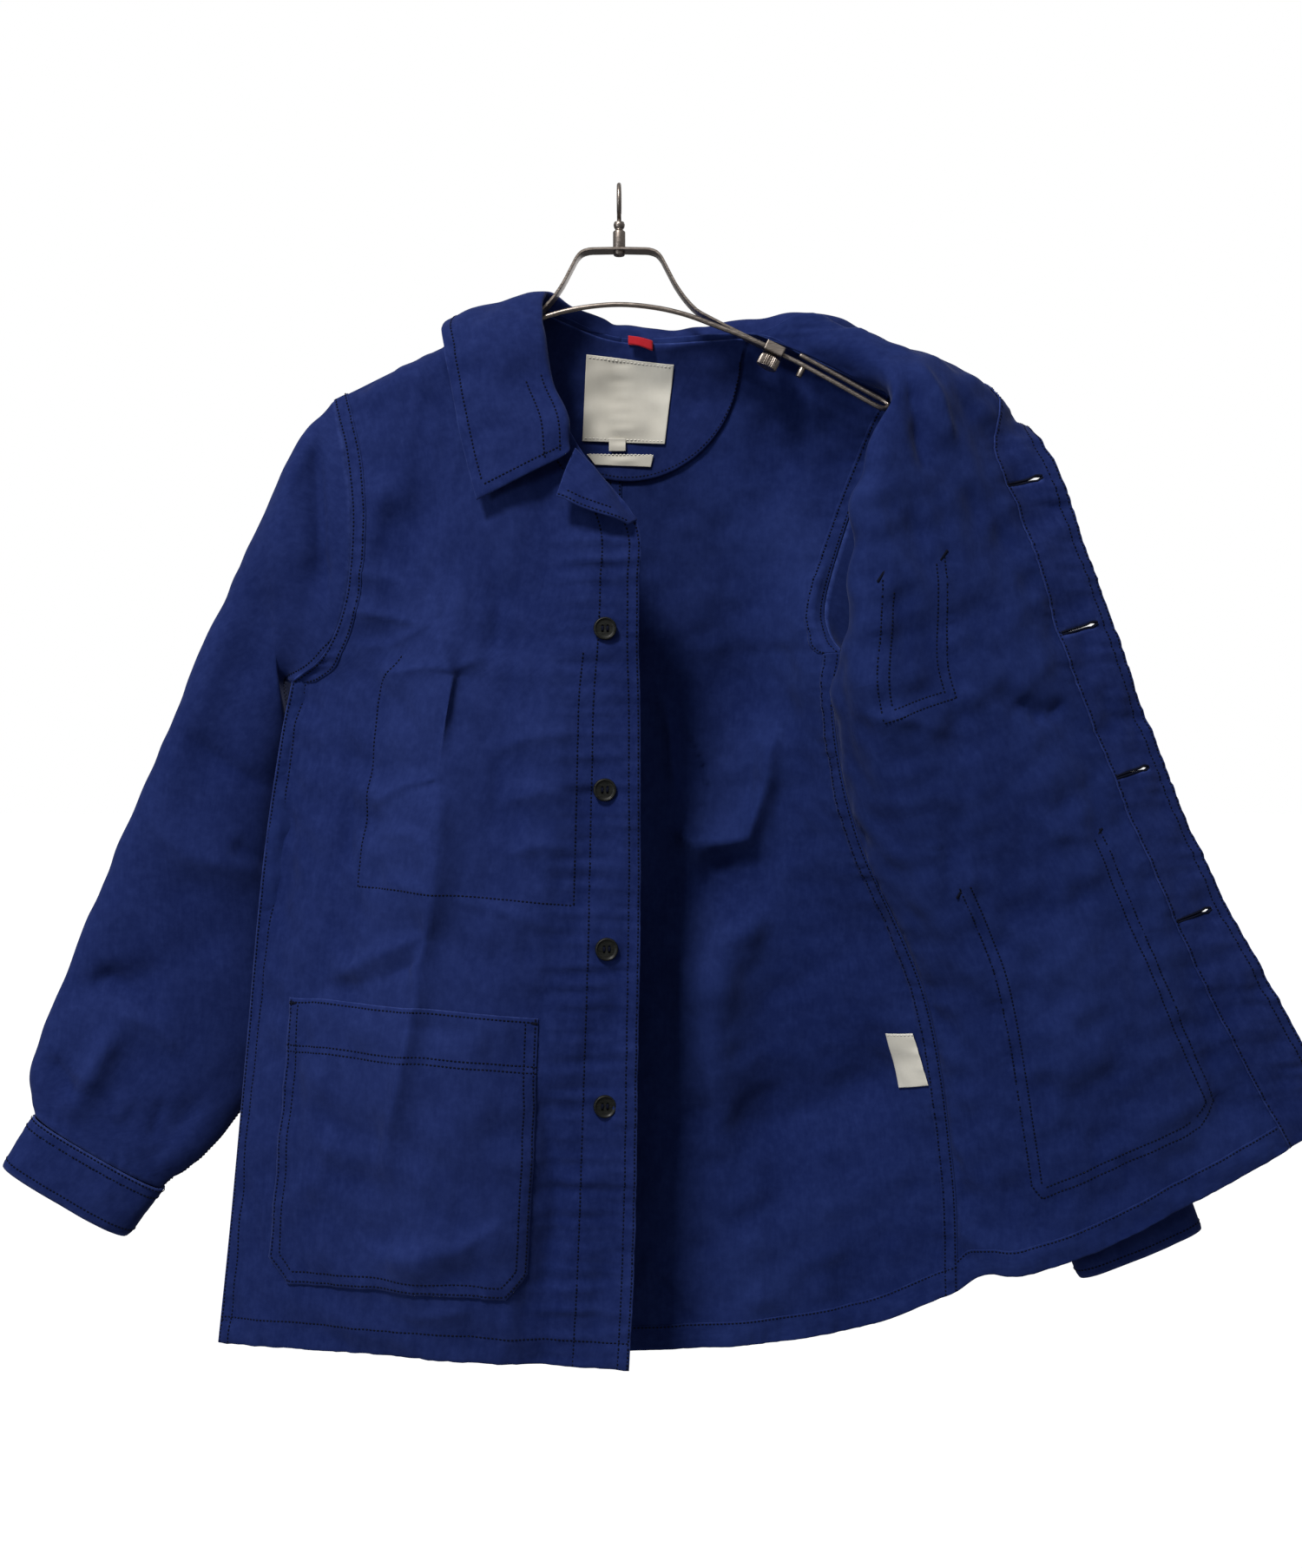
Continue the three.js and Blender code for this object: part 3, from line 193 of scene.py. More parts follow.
LEFT_FRONT = {
    "hem": [(240, 32, -771), (257, 22, -757), (285, 10, -753), (347, 2, -729), (465, 6, -665),
        (505, 12, -646)],
    "hip": [(236, 30, -682), (247, 18, -674), (272, 6, -660), (329, -2, -633), (425, 4, -591),
        (466, 10, -576)],
    "pocket": [(216, 24, -562), (226, 10, -554), (249, -6, -543), (297, -12, -520), (375, -2, -490),
        (412, 8, -478)],
    "waist": [(168, 16, -449), (175, -2, -443), (199, -24, -434), (251, -26, -413), (330, -6, -383),
        (368, 5, -372)],
    "ribs": [(150, 6, -367), (153, -16, -363), (173, -40, -357), (226, -36, -340), (305, -8, -320),
        (344, 4, -308)],
    "underarm": [(154, 2, -321), (155, -24, -317), (173, -44, -311), (223, -35, -297), (293, -8, -279),
        (330, 4, -268)],
    "scye": [(164, -6, -308), (157, -30, -298), (174, -44, -289), (222, -33, -273), (286, -7, -258),
        (322, 5, -246)],
    "blade": [(169, -12, -279), (157, -34, -264), (175, -44, -254), (220, -30, -237), (276, -4, -226),
        (313, 6, -218)],
    "chest": [(173, -14, -232), (160, -36, -221), (178, -44, -209), (219, -26, -190), (259, -4, -186),
        (296, 10, -176)],
    "collarbone": [(180, -9, -190), (169, -36, -184), (186, -38, -165), (224, -14, -137),
        (261, 12, -142), (282, 40, -162)],
    "corner": [(188, -4, -166), (182, -28, -160), (189, -26, -139), (209, 2, -112), (234, 42, -120),
        (237, 70, -179)],
    "neck": [(194, 1, -152), (188, -12, -147), (181, -16, -132), (166, -8, -112), (157, 4, -98),
        (149, 14, -91)],
    "shoulder": [(197, 4, -144), (184, 4, -139), (166, 3, -132), (133, 4, -116), (109, 4, -106),
        (92, 6, -99)],
}
COLLAR = {
    "gorge": [(-33, -34, -185), (-34, -42, -191), (-63, -47, -207), (-94, -45, -223)],
    "front": [(-42, -28, -162), (-37, -39, -164), (-69, -45, -179), (-103, -42, -190)],
    "throat": [(-54, -21, -129), (-49, -32, -132), (-80, -41, -144), (-111, -37, -151)],
    "neck": [(-60, -17, -103), (-52, -27, -101), (-83, -35, -110), (-117, -31, -120)],
    "shoulder": [(-62, 3, -79), (-51, -2, -73), (-79, -5, -78.5), (-116, -4, -95)],
    "nape": [(-36, 20, -90), (-34, 20, -78), (-39, 42, -83), (-62, 54, -123)],
    "back": [(-15, 27, -94), (-12, 30, -83), (-15, 47, -100), (-19, 56, -143)],
    "centre": [(1, 30, -96), (3, 36, -89), (2, 51, -107), (1, 57, -148)],
    "backL": [(53, 22, -99), (54, 31, -90), (56, 48, -111), (57, 56, -149)],
    "shoulderL": [(92, 8, -99), (94, 17, -88), (100, 43, -105), (107, 56, -139)],
    "neckL": [(149, 14, -91), (152, 24, -84), (159, 48, -100), (170, 62, -130)],
    "frontL": [(204, 50, -121), (212, 57, -115), (215, 72, -134), (217, 78, -158)],
    "gorgeL": [(237, 71, -179), (245, 78, -184), (241, 84, -205), (234, 86, -227)],
}
LAPEL = {
    "break": [(13, -34, -234), (10, -37, -236), (7, -40, -238)],
    "low": [(1, -34, -220), (-4, -41, -227), (-9, -46, -233)],
    "high": [(-13, -34, -203), (-19, -42, -215), (-25, -50, -227)],
    "gorge": [(-29, -34, -186), (-35, -41, -201), (-41, -50, -221)],
}
RIGHT_SLEEVE = {
    "cap": [(-222, 6, -176), (-236.5, 25, -343), 60],
    "biceps": [(-257, 14, -245), (-233, 38, -384), 56],
    "upper": [(-299, 20, -334), (-239, 46, -429), 52],
    "elbow": [(-330, 22, -407), (-243, 50, -482), 48],
    "forearm": [(-360, 22, -476), (-246, 52, -538), 46],
    "lower": [(-390, 20, -549), (-252, 50, -594), 44],
    "gather": [(-410, 18, -606), (-271, 44, -643), 42],
    "band": [(-411, 16, -630), (-297, 34, -676), 36],
    "wrist": [(-407, 14, -643), (-323, 26, -696), 30],
}
LEFT_SLEEVE = {
    "cap": [(212, 18, -167), (174, 20, -338), 46],
    "biceps": [(241, 34, -225), (180, 38, -390), 44],
    "upper": [(280, 44, -298), (198, 50, -449), 42],
    "elbow": [(317, 46, -385), (223, 52, -511), 40],
    "forearm": [(352, 46, -472), (246, 52, -573), 38],
    "lower": [(380, 46, -553), (265, 50, -632), 36],
    "gather": [(396, 46, -628), (289, 48, -683), 34],
    "band": [(401, 45, -665), (305, 46, -710), 32],
    "wrist": [(398, 44, -688), (314, 45, -724), 28],
}
RIGHT_CUFF = {
    "wrist": [(-408, 14, -643), (-322, 26, -697), 31],
    "middle": [(-419, 13, -660), (-334, 24, -713), 32],
    "end": [(-429, 12, -677), (-347, 22, -729), 31],
}
LEFT_CUFF = {
    "wrist": [(399, 44, -688), (313, 45, -725), 29],
    "middle": [(407, 43, -708), (321, 45, -744), 30],
    "end": [(414, 42, -728), (329, 44, -764), 29],
}
RIGHT_FRONT_FOLDS = {
    "throat ridge": [(-181, -247), (-129, -180), 15, -4],
    "chest valley": [(-131, -188), (-125, -297), 15, 5],
    "scye ray": [(-187, -267), (-130, -297), 10, -3],
    "ribs trough": [(-106, -341), (-120, -411), 13, 5],
    "waist drag": [(-204, -556), (-139, -536), 9, 3],
    "pocket valley": [(-127, -518), (-169, -733), 21, 7],
    "hip ridge": [(-181, -737), (-91, -723), 15, -3],
    "placket fold": [(-49, -630), (-47, -747), 12, 4],
}
BACK_FOLDS = {
    "waist valley": [(53, -470), (82, -514), 17, -7],
    "waist turn": [(82, -514), (66, -556), 17, -6],
    "long fold": [(66, -556), (73, -664), 20, -6],
    "side shadow": [(73, -664), (165, -630), 24, 5],
    "inner fold": [(34, -379), (46, -466), 20, 6],
    "hem fold": [(28, -760), (48, -789), 14, -5],
    "blade fold": [(-106, -250), (-120, -430), 26, -5],
    "right fold": [(-96, -520), (-120, -760), 30, 6],
}
LEFT_FRONT_FOLDS = {
    "arm fold": [(212, -300), (232, -380), 16, 4],
    "chest crease": [(262, -353), (296, -369), 11, 4],
    "waist fold": [(226, -450), (290, -560), 20, 5],
    "hip swell": [(330, -540), (378, -640), 24, -5],
    "hem swell": [(390, -690), (420, -640), 22, 4],
}
RIGHT_SLEEVE_FOLDS = {
    "under fold": [(-204, -270), (-216, -330), 12, 9],
    "arm fold": [(-250, -300), (-300, -420), 20, 5],
    "elbow fold": [(-330, -450), (-290, -520), 18, 5],
    "wrist trough": [(-385, -553), (-330, -545), 12, 5],
    "wrist ridge": [(-352, -587), (-377, -634), 10, -5],
    "cuff gather": [(-300, -640), (-330, -680), 9, 4],
}
LEFT_SLEEVE_FOLDS = {
    "arm fold": [(220, -260), (250, -380), 20, 5],
    "elbow fold": [(290, -470), (270, -540), 18, 5],
    "wrist trough": [(380, -600), (320, -620), 12, 4],
}
LEFT_HEM_CORNER = 10
UNDERARM = 5
ARMHOLE_ROWS = [5, 5.5, 6, 6.5, 7, 8, 9, 10, 10.5, 11, 11.5, 12]
print("levels:", ", ".join(RIGHT_FRONT))

# %% [markdown]
# A smooth run through table points could be a Bezier or NURBS curve. A Catmull-Rom run is used because it
# goes through every point, so that two pieces that share a seam share its points exactly.
# All places of a piece are worked out at once with numpy, which keeps a fine cloth quick.

# %% Smooth runs through the tables
def weights(t, count, corners=()):
    """How much each of count points weighs at the places t along their run."""
    t = np.asarray(t, float)
    i = np.clip(np.floor(t).astype(int), 0, count - 2)
    k = t - i
    before = ((2 - k) * k - 1) * k / 2
    here = ((3 * k - 5) * k * k + 2) / 2
    there = ((4 - 3 * k) * k + 1) * k / 2
    after = (k - 1) * k * k / 2
    opens = (i == 0) | np.isin(i, corners)
    closes = (i + 1 == count - 1) | np.isin(i + 1, corners)
    out = np.zeros((len(t), count))
    row = np.arange(len(t))
    out[row, i] += here + np.where(opens, 2 * before, 0) - np.where(closes, after, 0)
    out[row, i + 1] += there - np.where(opens, before, 0) + np.where(closes, 2 * after, 0)
    out[row, np.maximum(i - 1, 0)] += np.where(opens, 0, before)
    out[row, np.minimum(i + 2, count - 1)] += np.where(closes, 0, after)
    return out


def ease(t):
    t = np.clip(t, 0, 1)
    return t * t * (3 - 2 * t)


def fade(t, last, reach):
    return ease(np.minimum(t, last - t) / reach)


def sink(folds, x, z):
    """How far a table of folds pushes the cloth back at the places (x, z)."""
    depth = np.zeros(len(x))
    for start, end, width, deep in folds.values():
        dx = end[0] - start[0]
        dz = end[1] - start[1]
        t = np.clip(((x - start[0]) * dx + (z - start[1]) * dz) / (dx * dx + dz * dz), 0, 1)
        away = np.hypot(x - start[0] - t * dx, z - start[1] - t * dz)
        depth += deep * np.exp(-((away / width) ** 2))
    return depth


def panel(rows, folds=None, corners=None):
    """A surface through a table: u counts its columns, v its rows."""
    table = np.array(list(rows.values()), float)
    levels, columns = table.shape[:2]
    corners = corners or {}

    def surface(u, v):
        across = weights(u, columns)
        p = np.zeros((len(across), 3))
        for c in range(columns):
            p += across[:, c:c + 1] * (weights(v, levels, corners.get(c, ())) @ table[:, c])
        if folds:
            p[:, 1] += sink(folds, p[:, 0], p[:, 2]) * fade(u, columns - 1, 0.5) * fade(v, levels - 1, 0.7)
        return p

    return surface


def tube(rows, side, roundness, folds=None, armhole=None):
    """A sleeve or cuff through its sections: u goes once round, v counts the sections."""
    def ring(row, turn):
        outer, inner, thick = (np.array(cell, float) for cell in row)
        c = np.cos(turn * 2 * np.pi)
        s = np.sin(turn * 2 * np.pi)
        p = (outer + inner) / 2 + np.outer(np.sign(c) * np.abs(c) ** roundness / 2, outer - inner)
        p[:, 1] -= np.sign(s) * np.abs(s) ** roundness * thick / 2
        return p

    def surface(u, v):
        u = np.mod(u, 1)
        turn = 1 - u if side < 0 else u
        rings = [ring(row, turn) for row in rows.values()]
        if armhole:
            rings = [armhole(turn), *rings]
        share = weights(v, len(rings))
        p = sum(share[:, n:n + 1] * rings[n] for n in range(len(rings)))
        if folds:
            face = -np.sin(turn * 2 * np.pi)
            p[:, 1] -= face * np.abs(face) * sink(folds, p[:, 0], p[:, 2]) * fade(v, len(rings) - 1, 1)
        return p

    return surface


def armhole_of(front, back):
    """The edge that a sleeve is sewn to: down its front, then up its back."""
    def edge(turn):
        half = np.where(turn < 0.5, turn * 2, 2 - turn * 2)
        v = np.interp((1 - half) * (len(ARMHOLE_ROWS) - 1), np.arange(len(ARMHOLE_ROWS)), ARMHOLE_ROWS)
        return np.where((turn < 0.5)[:, None], front(v), back(v))

    return edge


right_front = panel(RIGHT_FRONT, RIGHT_FRONT_FOLDS, {0: [UNDERARM]})
back = panel(BACK, BACK_FOLDS, {0: [UNDERARM], 8: [UNDERARM]})
left_front = panel(LEFT_FRONT, LEFT_FRONT_FOLDS, {0: [UNDERARM], 5: [LEFT_HEM_CORNER]})
collar = panel(COLLAR)
lapel = panel(LAPEL)
right_armhole = armhole_of(lambda v: right_front(0 * v, v), lambda v: back(0 * v, v))
left_armhole = armhole_of(lambda v: left_front(0 * v, v), lambda v: back(0 * v + 8, v))
right_sleeve = tube(RIGHT_SLEEVE, -1, 0.85, RIGHT_SLEEVE_FOLDS, right_armhole)
left_sleeve = tube(LEFT_SLEEVE, 1, 0.85, LEFT_SLEEVE_FOLDS, left_armhole)
right_cuff = tube(RIGHT_CUFF, -1, 0.7)
left_cuff = tube(LEFT_CUFF, 1, 0.7)
shoulder_point = right_front(np.array([0.0]), np.array([12.0]))[0]
print("right shoulder point", shoulder_point.round(1))

# %% [markdown]
# Washed cotton is never smooth. Three sizes of wrinkle lie on the large folds of the frame: drapes, placed
# one by one along their paths; a crumple from the wash; and puckers, where the seam thread has shrunk.
# A sculpt or a displace texture could make them. Here they are functions of the place on the cloth, so that
# the pockets, facings and stitches that lie on a panel follow the same wrinkles.

# %% Wrinkles
class Spot:
    """Places on a form, with how many millimetres one table unit is across and up there."""
    def __init__(self, form, u, v):
        h = 0.01
        self.u, self.v = u, v
        self.p = form(u, v)
        self.across = (form(u + h, v) - form(u - h, v)) / (2 * h)
        self.up = (form(u, v + h) - form(u, v - h)) / (2 * h)
        self.wide = np.linalg.norm(self.across, axis=1)
        self.tall = np.linalg.norm(self.up, axis=1)
        normal = np.cross(self.across, self.up)
        self.normal = normal / np.linalg.norm(normal, axis=1)[:, None]


def crumple(seed, depth, longest, shortest, waves=26, squeeze=(1, 1, 1)):
    """The uneven waves of washed cloth, from the longest to the shortest."""
    random = np.random.default_rng(seed)
    length = np.exp(random.uniform(np.log(shortest), np.log(longest), waves))
    way = random.normal(size=(waves, 3)) * np.array(squeeze)
    way /= np.linalg.norm(way, axis=1)[:, None]
    phase = random.uniform(0, 2 * np.pi, waves)
    gain = (length / longest) ** 0.8
    gain /= np.sqrt((gain ** 2).sum() / 2)

    def height(spot):
        total = np.zeros(len(spot.p))
        for k in range(waves):
            total += gain[k] * np.cos(spot.p @ way[k] * 2 * np.pi / length[k] + phase[k])
        return depth * total

    return height


def drapes(table, faces_front=False):
    """Folds along a path: each has a reach to its left, a reach to its right and a height."""
    def height(spot):
        x, z = spot.p[:, 0], spot.p[:, 2]
        total = np.zeros(len(x))
        for path, left, right, tall in table.values():
            path = np.array(path, float)
            runs = np.linalg.norm(np.diff(path, axis=0), axis=1)
            whole, passed = runs.sum(), 0
            nearest, side, along = np.full(len(x), 1e9), np.zeros(len(x)), np.zeros(len(x))
            for (ax, az), (bx, bz), run in zip(path, path[1:], runs):
                dx, dz = (bx - ax) / run, (bz - az) / run
                t = np.clip((x - ax) * dx + (z - az) * dz, 0, run)
                away = np.hypot(x - ax - t * dx, z - az - t * dz)
                closer = away < nearest
                nearest = np.where(closer, away, nearest)
                side = np.where(closer, dx * (z - az) - dz * (x - ax), side)
                along = np.where(closer, passed + t, along)
                passed += run
            reach = left + (right - left) * ease(0.5 - side / (0.6 * min(left, right)))
            tip = 0.3 * min(left, right)
            ends = ease(np.minimum(along, whole - along) / (0.3 * whole) + 0.06)
            total += tall * ends * np.exp(-(np.hypot(nearest, tip) - tip) / reach)
        return total * np.clip(-1.4 * spot.normal[:, 1], 0, 1) if faces_front else total

    return height


def uneven(seed, along, pitch):
    """A ripple whose pitch and height drift along a seam."""
    random = np.random.default_rng(seed)
    phase = random.uniform(0, 2 * np.pi, 4)
    shift = 1.3 * np.sin(along * 2 * np.pi / (pitch * 6.3) + phase[0])
    wave = np.cos(along * 2 * np.pi / pitch + shift + phase[1])
    slow = 0.6 + 0.4 * np.cos(along * 2 * np.pi / (pitch * 4.7) + phase[2])
    fine = 0.35 * np.cos(along * 2 * np.pi / (pitch * 0.53) + 2 * shift + phase[3])
    return slow * wave + fine


def puckers(seed, axis, place, depth=0.35, reach=11, pitch=9, span=(-9, 99)):
    """Short ripples that stand square to a seam and die out away from it."""
    def height(spot):
        near, scale, along, other = (
            (spot.u, spot.wide, spot.p[:, 2], spot.v) if axis == "u"
            else (spot.v, spot.tall, spot.p[:, 0], spot.u)
        )
        away = np.abs(near - place) * scale
        inside = ease((other - span[0]) * 4 + 1) * ease((span[1] - other) * 4 + 1)
        return depth * uneven(seed, along, pitch) * np.exp(-(away / reach) ** 2) * inside

    return height


SEAM_CALM = 6


class Cloth:
    """A form with its wrinkles, which die out at the seams that it shares with another piece."""
    def __init__(self, form, *wrinkles, seams=()):
        self.form = form
        self.wrinkles = wrinkles
        self.seams = seams

    def lay(self, u, v, lift=0.0):
        """The places, their directions and the height of the wrinkles there."""
        spot = Spot(self.form, np.asarray(u, float), np.asarray(v, float))
        height = np.zeros(len(spot.p))
        for wrinkle in self.wrinkles:
            height += wrinkle(spot)
        for axis, place in self.seams:
            away = np.abs(spot.u - place) * spot.wide if axis == "u" else np.abs(spot.v - place) * spot.tall
            height *= ease(away / SEAM_CALM)
        return spot.p + spot.normal * (height + lift)[:, None], spot, height


def over(form, x, z, u, v):
    """The table places that lie over places across and up, found by Newton steps from (u, v)."""
    h = 0.01
    x, z = np.atleast_1d(x).astype(float), np.atleast_1d(z).astype(float)
    u, v = u + 0 * x, v + 0 * x
    for _ in range(30):
        p = form(u, v)
        du, dv = (form(u + h, v) - p) / h, (form(u, v + h) - p) / h
        size = du[:, 0] * dv[:, 2] - dv[:, 0] * du[:, 2]
        dx, dz = x - p[:, 0], z - p[:, 2]
        u = u + np.clip((dx * dv[:, 2] - dz * dv[:, 0]) / size, -0.3, 0.3)
        v = v + np.clip((dz * du[:, 0] - dx * du[:, 2]) / size, -0.3, 0.3)
    return u, v


print("wrinkle sizes: drapes, crumple, puckers")

# %% [markdown]
# Cloth could be a single sheet with a Solidify modifier. It is built here as a closed wall instead, both
# faces and the folded edge between them, because its two sides have different finishes and its worn edge
# needs to be known: the dye rubs off a jacket first where it is folded.

# %% Walls of cloth
CLOTH = 1.5
DOUBLE_CLOTH = 2.4
PAPER = 0.7
SPACING = 2.7
WORN_WIDTH = 0.9
TINY = 1e-6
made = {}


def grid_lines(form, axis, start, end, others, spacing, extra=()):
    """Grid lines a spacing apart in millimetres, with a line on every stop."""
    knots = sorted({start, end, *range(math.ceil(start), math.floor(end) + 1), *extra})
    others = np.array(others, float)
    out = [start]
    for a, b in zip(knots, knots[1:]):
        ends = [form(others * 0 + t, others) if axis == "u" else form(others, others * 0 + t) for t in (a, b)]
        length = np.linalg.norm(ends[1] - ends[0], axis=1).mean()
        parts = max(1, round(length / spacing))
        out += [a + (b - a) * (k + 1) / parts for k in range(parts)]
    return np.array(out)


def mesh_piece(name, points, faces, finishes, side_of=None, uv=None, attributes=None):
    """Makes a mesh from millimetres and rides it on the frame."""
    mesh = bpy.data.meshes.new(name)
    mesh.from_pydata(np.asarray(points) * MM, [], faces)
    for finish in finishes:
        mesh.materials.append(finish)
    mesh.polygons.foreach_set("use_smooth", np.ones(len(mesh.polygons), bool))
    if side_of is not None:
        mesh.polygons.foreach_set("material_index", np.asarray(side_of, np.int32))
    if uv is not None:
        layer = mesh.uv_layers.new(name="cloth")
        corner = np.zeros(len(mesh.loops), np.int32)
        mesh.loops.foreach_get("vertex_index", corner)
        layer.data.foreach_set("uv", (np.asarray(uv)[corner] * MM).astype(np.float32).ravel())
    for key, values in (attributes or {}).items():
        mesh.attributes.new(key, "FLOAT", "POINT").data.foreach_set("value", values.astype(np.float32))
    piece = add_object(name, mesh)
    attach(piece, "root")
    made[name] = piece
    return piece


def hem_lines(lines):
    """A grid line close inside each end keeps the worn edge thin."""
    first, last = lines[1] - lines[0], lines[-1] - lines[-2]
    return np.unique([*lines, lines[0] + first * WORN_WIDTH / SPACING,
                      lines[-1] - last * WORN_WIDTH / SPACING])


def cloth_places(net):
    """How far each place of a net lies along the cloth from its first column and its first row."""
    east = np.zeros(net.shape[:2])
    east[:, 1:] = np.cumsum(np.linalg.norm(np.diff(net, axis=1), axis=2), axis=1)
    north = np.zeros(net.shape[:2])
    north[1:] = np.cumsum(np.linalg.norm(np.diff(net, axis=0), axis=2), axis=0)
    return np.stack([east.ravel(), north.ravel()], axis=1)


def wall(name, cloth, us, vs, finishes, lift=0, thickness=CLOTH, closed=False, worn=1.0, edge=0.5,
         skip=None, bend=None, node=None):
    """A closed wall on a cloth: finishes are for the face along the normal and for the other one."""
    if not closed:
        us = hem_lines(us)
        vs = hem_lines(vs)
    columns = len(us) - 1 if closed else len(us)
    u, v = (grid.ravel() for grid in np.meshgrid(us[:columns], vs))
    if bend:
        u, v = bend(u, v)
    middle, spot, height = cloth.lay(u, v, lift)
    count = len(middle)
    cells = np.meshgrid(np.arange(len(vs) - 1), np.arange(len(us) - 1), indexing="ij")
    j, i = (grid.ravel() for grid in cells)
    a = j * columns + i
    b = j * columns + (i + 1) % columns
    quads = np.stack([a, b, b + columns, a + columns], axis=1)
    turn = np.cross(middle[quads[:, 1]] - middle[quads[:, 0]], middle[quads[:, 3]] - middle[quads[:, 0]])
    turned = (turn * spot.normal[quads[:, 0]]).sum() < 0
    if skip:
        quads = quads[~skip((us[i] + us[i + 1]) / 2, (vs[j] + vs[j + 1]) / 2)]
    if turned:
        quads = quads[:, ::-1]
    sides = np.concatenate([quads[:, [k, (k + 1) % 4]] for k in range(4)])
    rim = sides[~np.isin(sides[:, 0] * count + sides[:, 1], sides[:, 1] * count + sides[:, 0])]
    on_rim = np.zeros(count)
    on_rim[rim.ravel()] = 1
    half = spot.normal * (thickness / 2 * (1 - (1 - edge) * on_rim))[:, None]
    points = np.concatenate([middle + half, middle - half])
    band = np.stack([rim[:, 1], rim[:, 0], rim[:, 0] + count, rim[:, 1] + count], axis=1)
    faces = np.concatenate([quads, quads[:, ::-1] + count, band])
    side_of = np.concatenate([np.zeros(len(quads)), np.ones(len(quads)), np.zeros(len(band))])
    uv = cloth_places(middle.reshape(len(vs), columns, 3))
    attributes = {
        "edge": np.tile(on_rim * worn, 2),
        # fold carries the wrinkle height, which the cloth finishes paint as paler ridges and painted shade in
        # the hollows
        "fold": np.concatenate([height, -height]),
    }
    used = np.zeros(count * 2, bool)
    used[faces.ravel()] = True
    renumber = np.cumsum(used) - 1
    piece = mesh_piece(name, points[used], renumber[faces].tolist(), finishes, side_of,
                       np.tile(uv, (2, 1))[used], {k: x[used] for k, x in attributes.items()})
    if node:
        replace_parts(piece, node)
    area = sum(face.area for face in piece.data.polygons) / 2
    print(name, len(faces) * 2, "triangles,", round(area, 5), "m2")
    return piece


# %% [markdown]
# Lock stitches show as short dark dashes that lie a little below the cloth. Their thread is darker than the
# navy
# thread itself: painted shade of the furrow that each stitch pulls into the cloth. A dashed texture would
# slide on the seams, and a curve per stitch would be slow, so one small lozenge is repeated along each row
# and all stitches of a garment piece are joined into one mesh.

# %% Rows of stitches
STITCH_PITCH = 2.7
STITCH_LONG = 2.2
STITCH_WIDE = 1.15
STITCH_HIGH = 0.7
STITCH_RAISE = 0.12
BARTACK_PITCH = 0.7
threads = {}


def stitch_shape():
    """One lozenge of thread that dips into the cloth at both ends."""
    ring = [(0, 1, 0), (0, 0, 1), (0, -1, 0), (0, 0, -1)]
    points = [(-0.5, 0, -0.4)]
    points += [(-0.24, y / 2, z / 2) for _, y, z in ring]
    points += [(0.24, y / 2, z / 2) for _, y, z in ring]
    points += [(0.5, 0, -0.4)]
    faces = []
    for k in range(4):
        n = (k + 1) % 4
        faces += [(0, 1 + k, 1 + n), (1 + k, 5 + k, 5 + n), (1 + k, 5 + n, 1 + n), (9, 5 + n, 5 + k)]
    return np.array(points) * (STITCH_LONG, STITCH_WIDE, STITCH_HIGH), np.array(faces)


STITCH_POINTS, STITCH_FACES = stitch_shape()


def put_stitches(group, places, along, normal, long=1.0):
    """Lays one stitch at each place, turned along its row."""
    side = np.cross(normal, along)
    side /= np.linalg.norm(side, axis=1)[:, None]
    shape = STITCH_POINTS * (long, 1, 1)
    points = (places[:, None] + shape[None, :, 0:1] * along[:, None] + shape[None, :, 1:2] * side[:, None]
              + shape[None, :, 2:3] * normal[:, None])
    threads.setdefault(group, []).append(points.reshape(-1, 3))


def stitch_row(group, cloth, path, lift, inset=0.0, side=1, trim=0.0):
    """A row along a path of (u, v) stops, moved inset millimetres to its left on the cloth."""
    path = np.array(path, float)
    stops = np.arange(len(path))
    t = np.linspace(0, len(path) - 1, 60 * (len(path) - 1) + 1)
    u = np.interp(t, stops, path[:, 0])
    v = np.interp(t, stops, path[:, 1])
    spot = Spot(cloth.form, u, v)
    if inset:
        tangent = np.gradient(spot.p, axis=0)
        tangent /= np.linalg.norm(tangent, axis=1)[:, None]
        shift = np.cross(spot.normal, tangent) * inset
        aa, bb, ab = spot.wide ** 2, spot.tall ** 2, (spot.across * spot.up).sum(1)
        sa, sb = (shift * spot.across).sum(1), (shift * spot.up).sum(1)
        size = aa * bb - ab * ab
        u = u + (sa * bb - sb * ab) / size
        v = v + (sb * aa - sa * ab) / size
    line, spot, _ = cloth.lay(u, v, lift)
    length = np.concatenate([[0], np.cumsum(np.linalg.norm(np.diff(line, axis=0), axis=1))])
    at = np.arange(trim + STITCH_PITCH / 2, length[-1] - trim, STITCH_PITCH)
    if len(at) == 0:
        return
    places = np.stack([np.interp(at, length, line[:, n]) for n in range(3)], axis=1)
    ahead = np.stack([np.interp(at + 0.5, length, line[:, n]) for n in range(3)], axis=1)
    behind = np.stack([np.interp(at - 0.5, length, line[:, n]) for n in range(3)], axis=1)
    along = ahead - behind
    along /= np.linalg.norm(along, axis=1)[:, None]
    normal = np.stack([np.interp(at, length, spot.normal[:, n]) for n in range(3)], axis=1) * side
    normal /= np.linalg.norm(normal, axis=1)[:, None]
    put_stitches(group, places, along, normal)


print("a stitch has", len(STITCH_FACES), "triangles")

# %% [markdown]
# The jacket is moleskin, a heavy cotton satin with a short nap. Its threads are too fine to see from here,
# so the weave is a shallow bump of crossing waves in the cloth's own coordinates. An image of a weave would
# need a file. The weave is one node group, placed in each cloth and label with its own thread count.

# %% Weave and colour, with painted fold shade
WEFT_SHARE = 0.55
SLUB_SHARE = 1.6
WORN_SHARE = 0.55


def socket(group, name, kind, value=None, out=False):
    made_socket = group.interface.new_socket(name, in_out="OUTPUT" if out else "INPUT", socket_type=kind)
    if value is not None:
        made_socket.default_value = value
    return made_socket


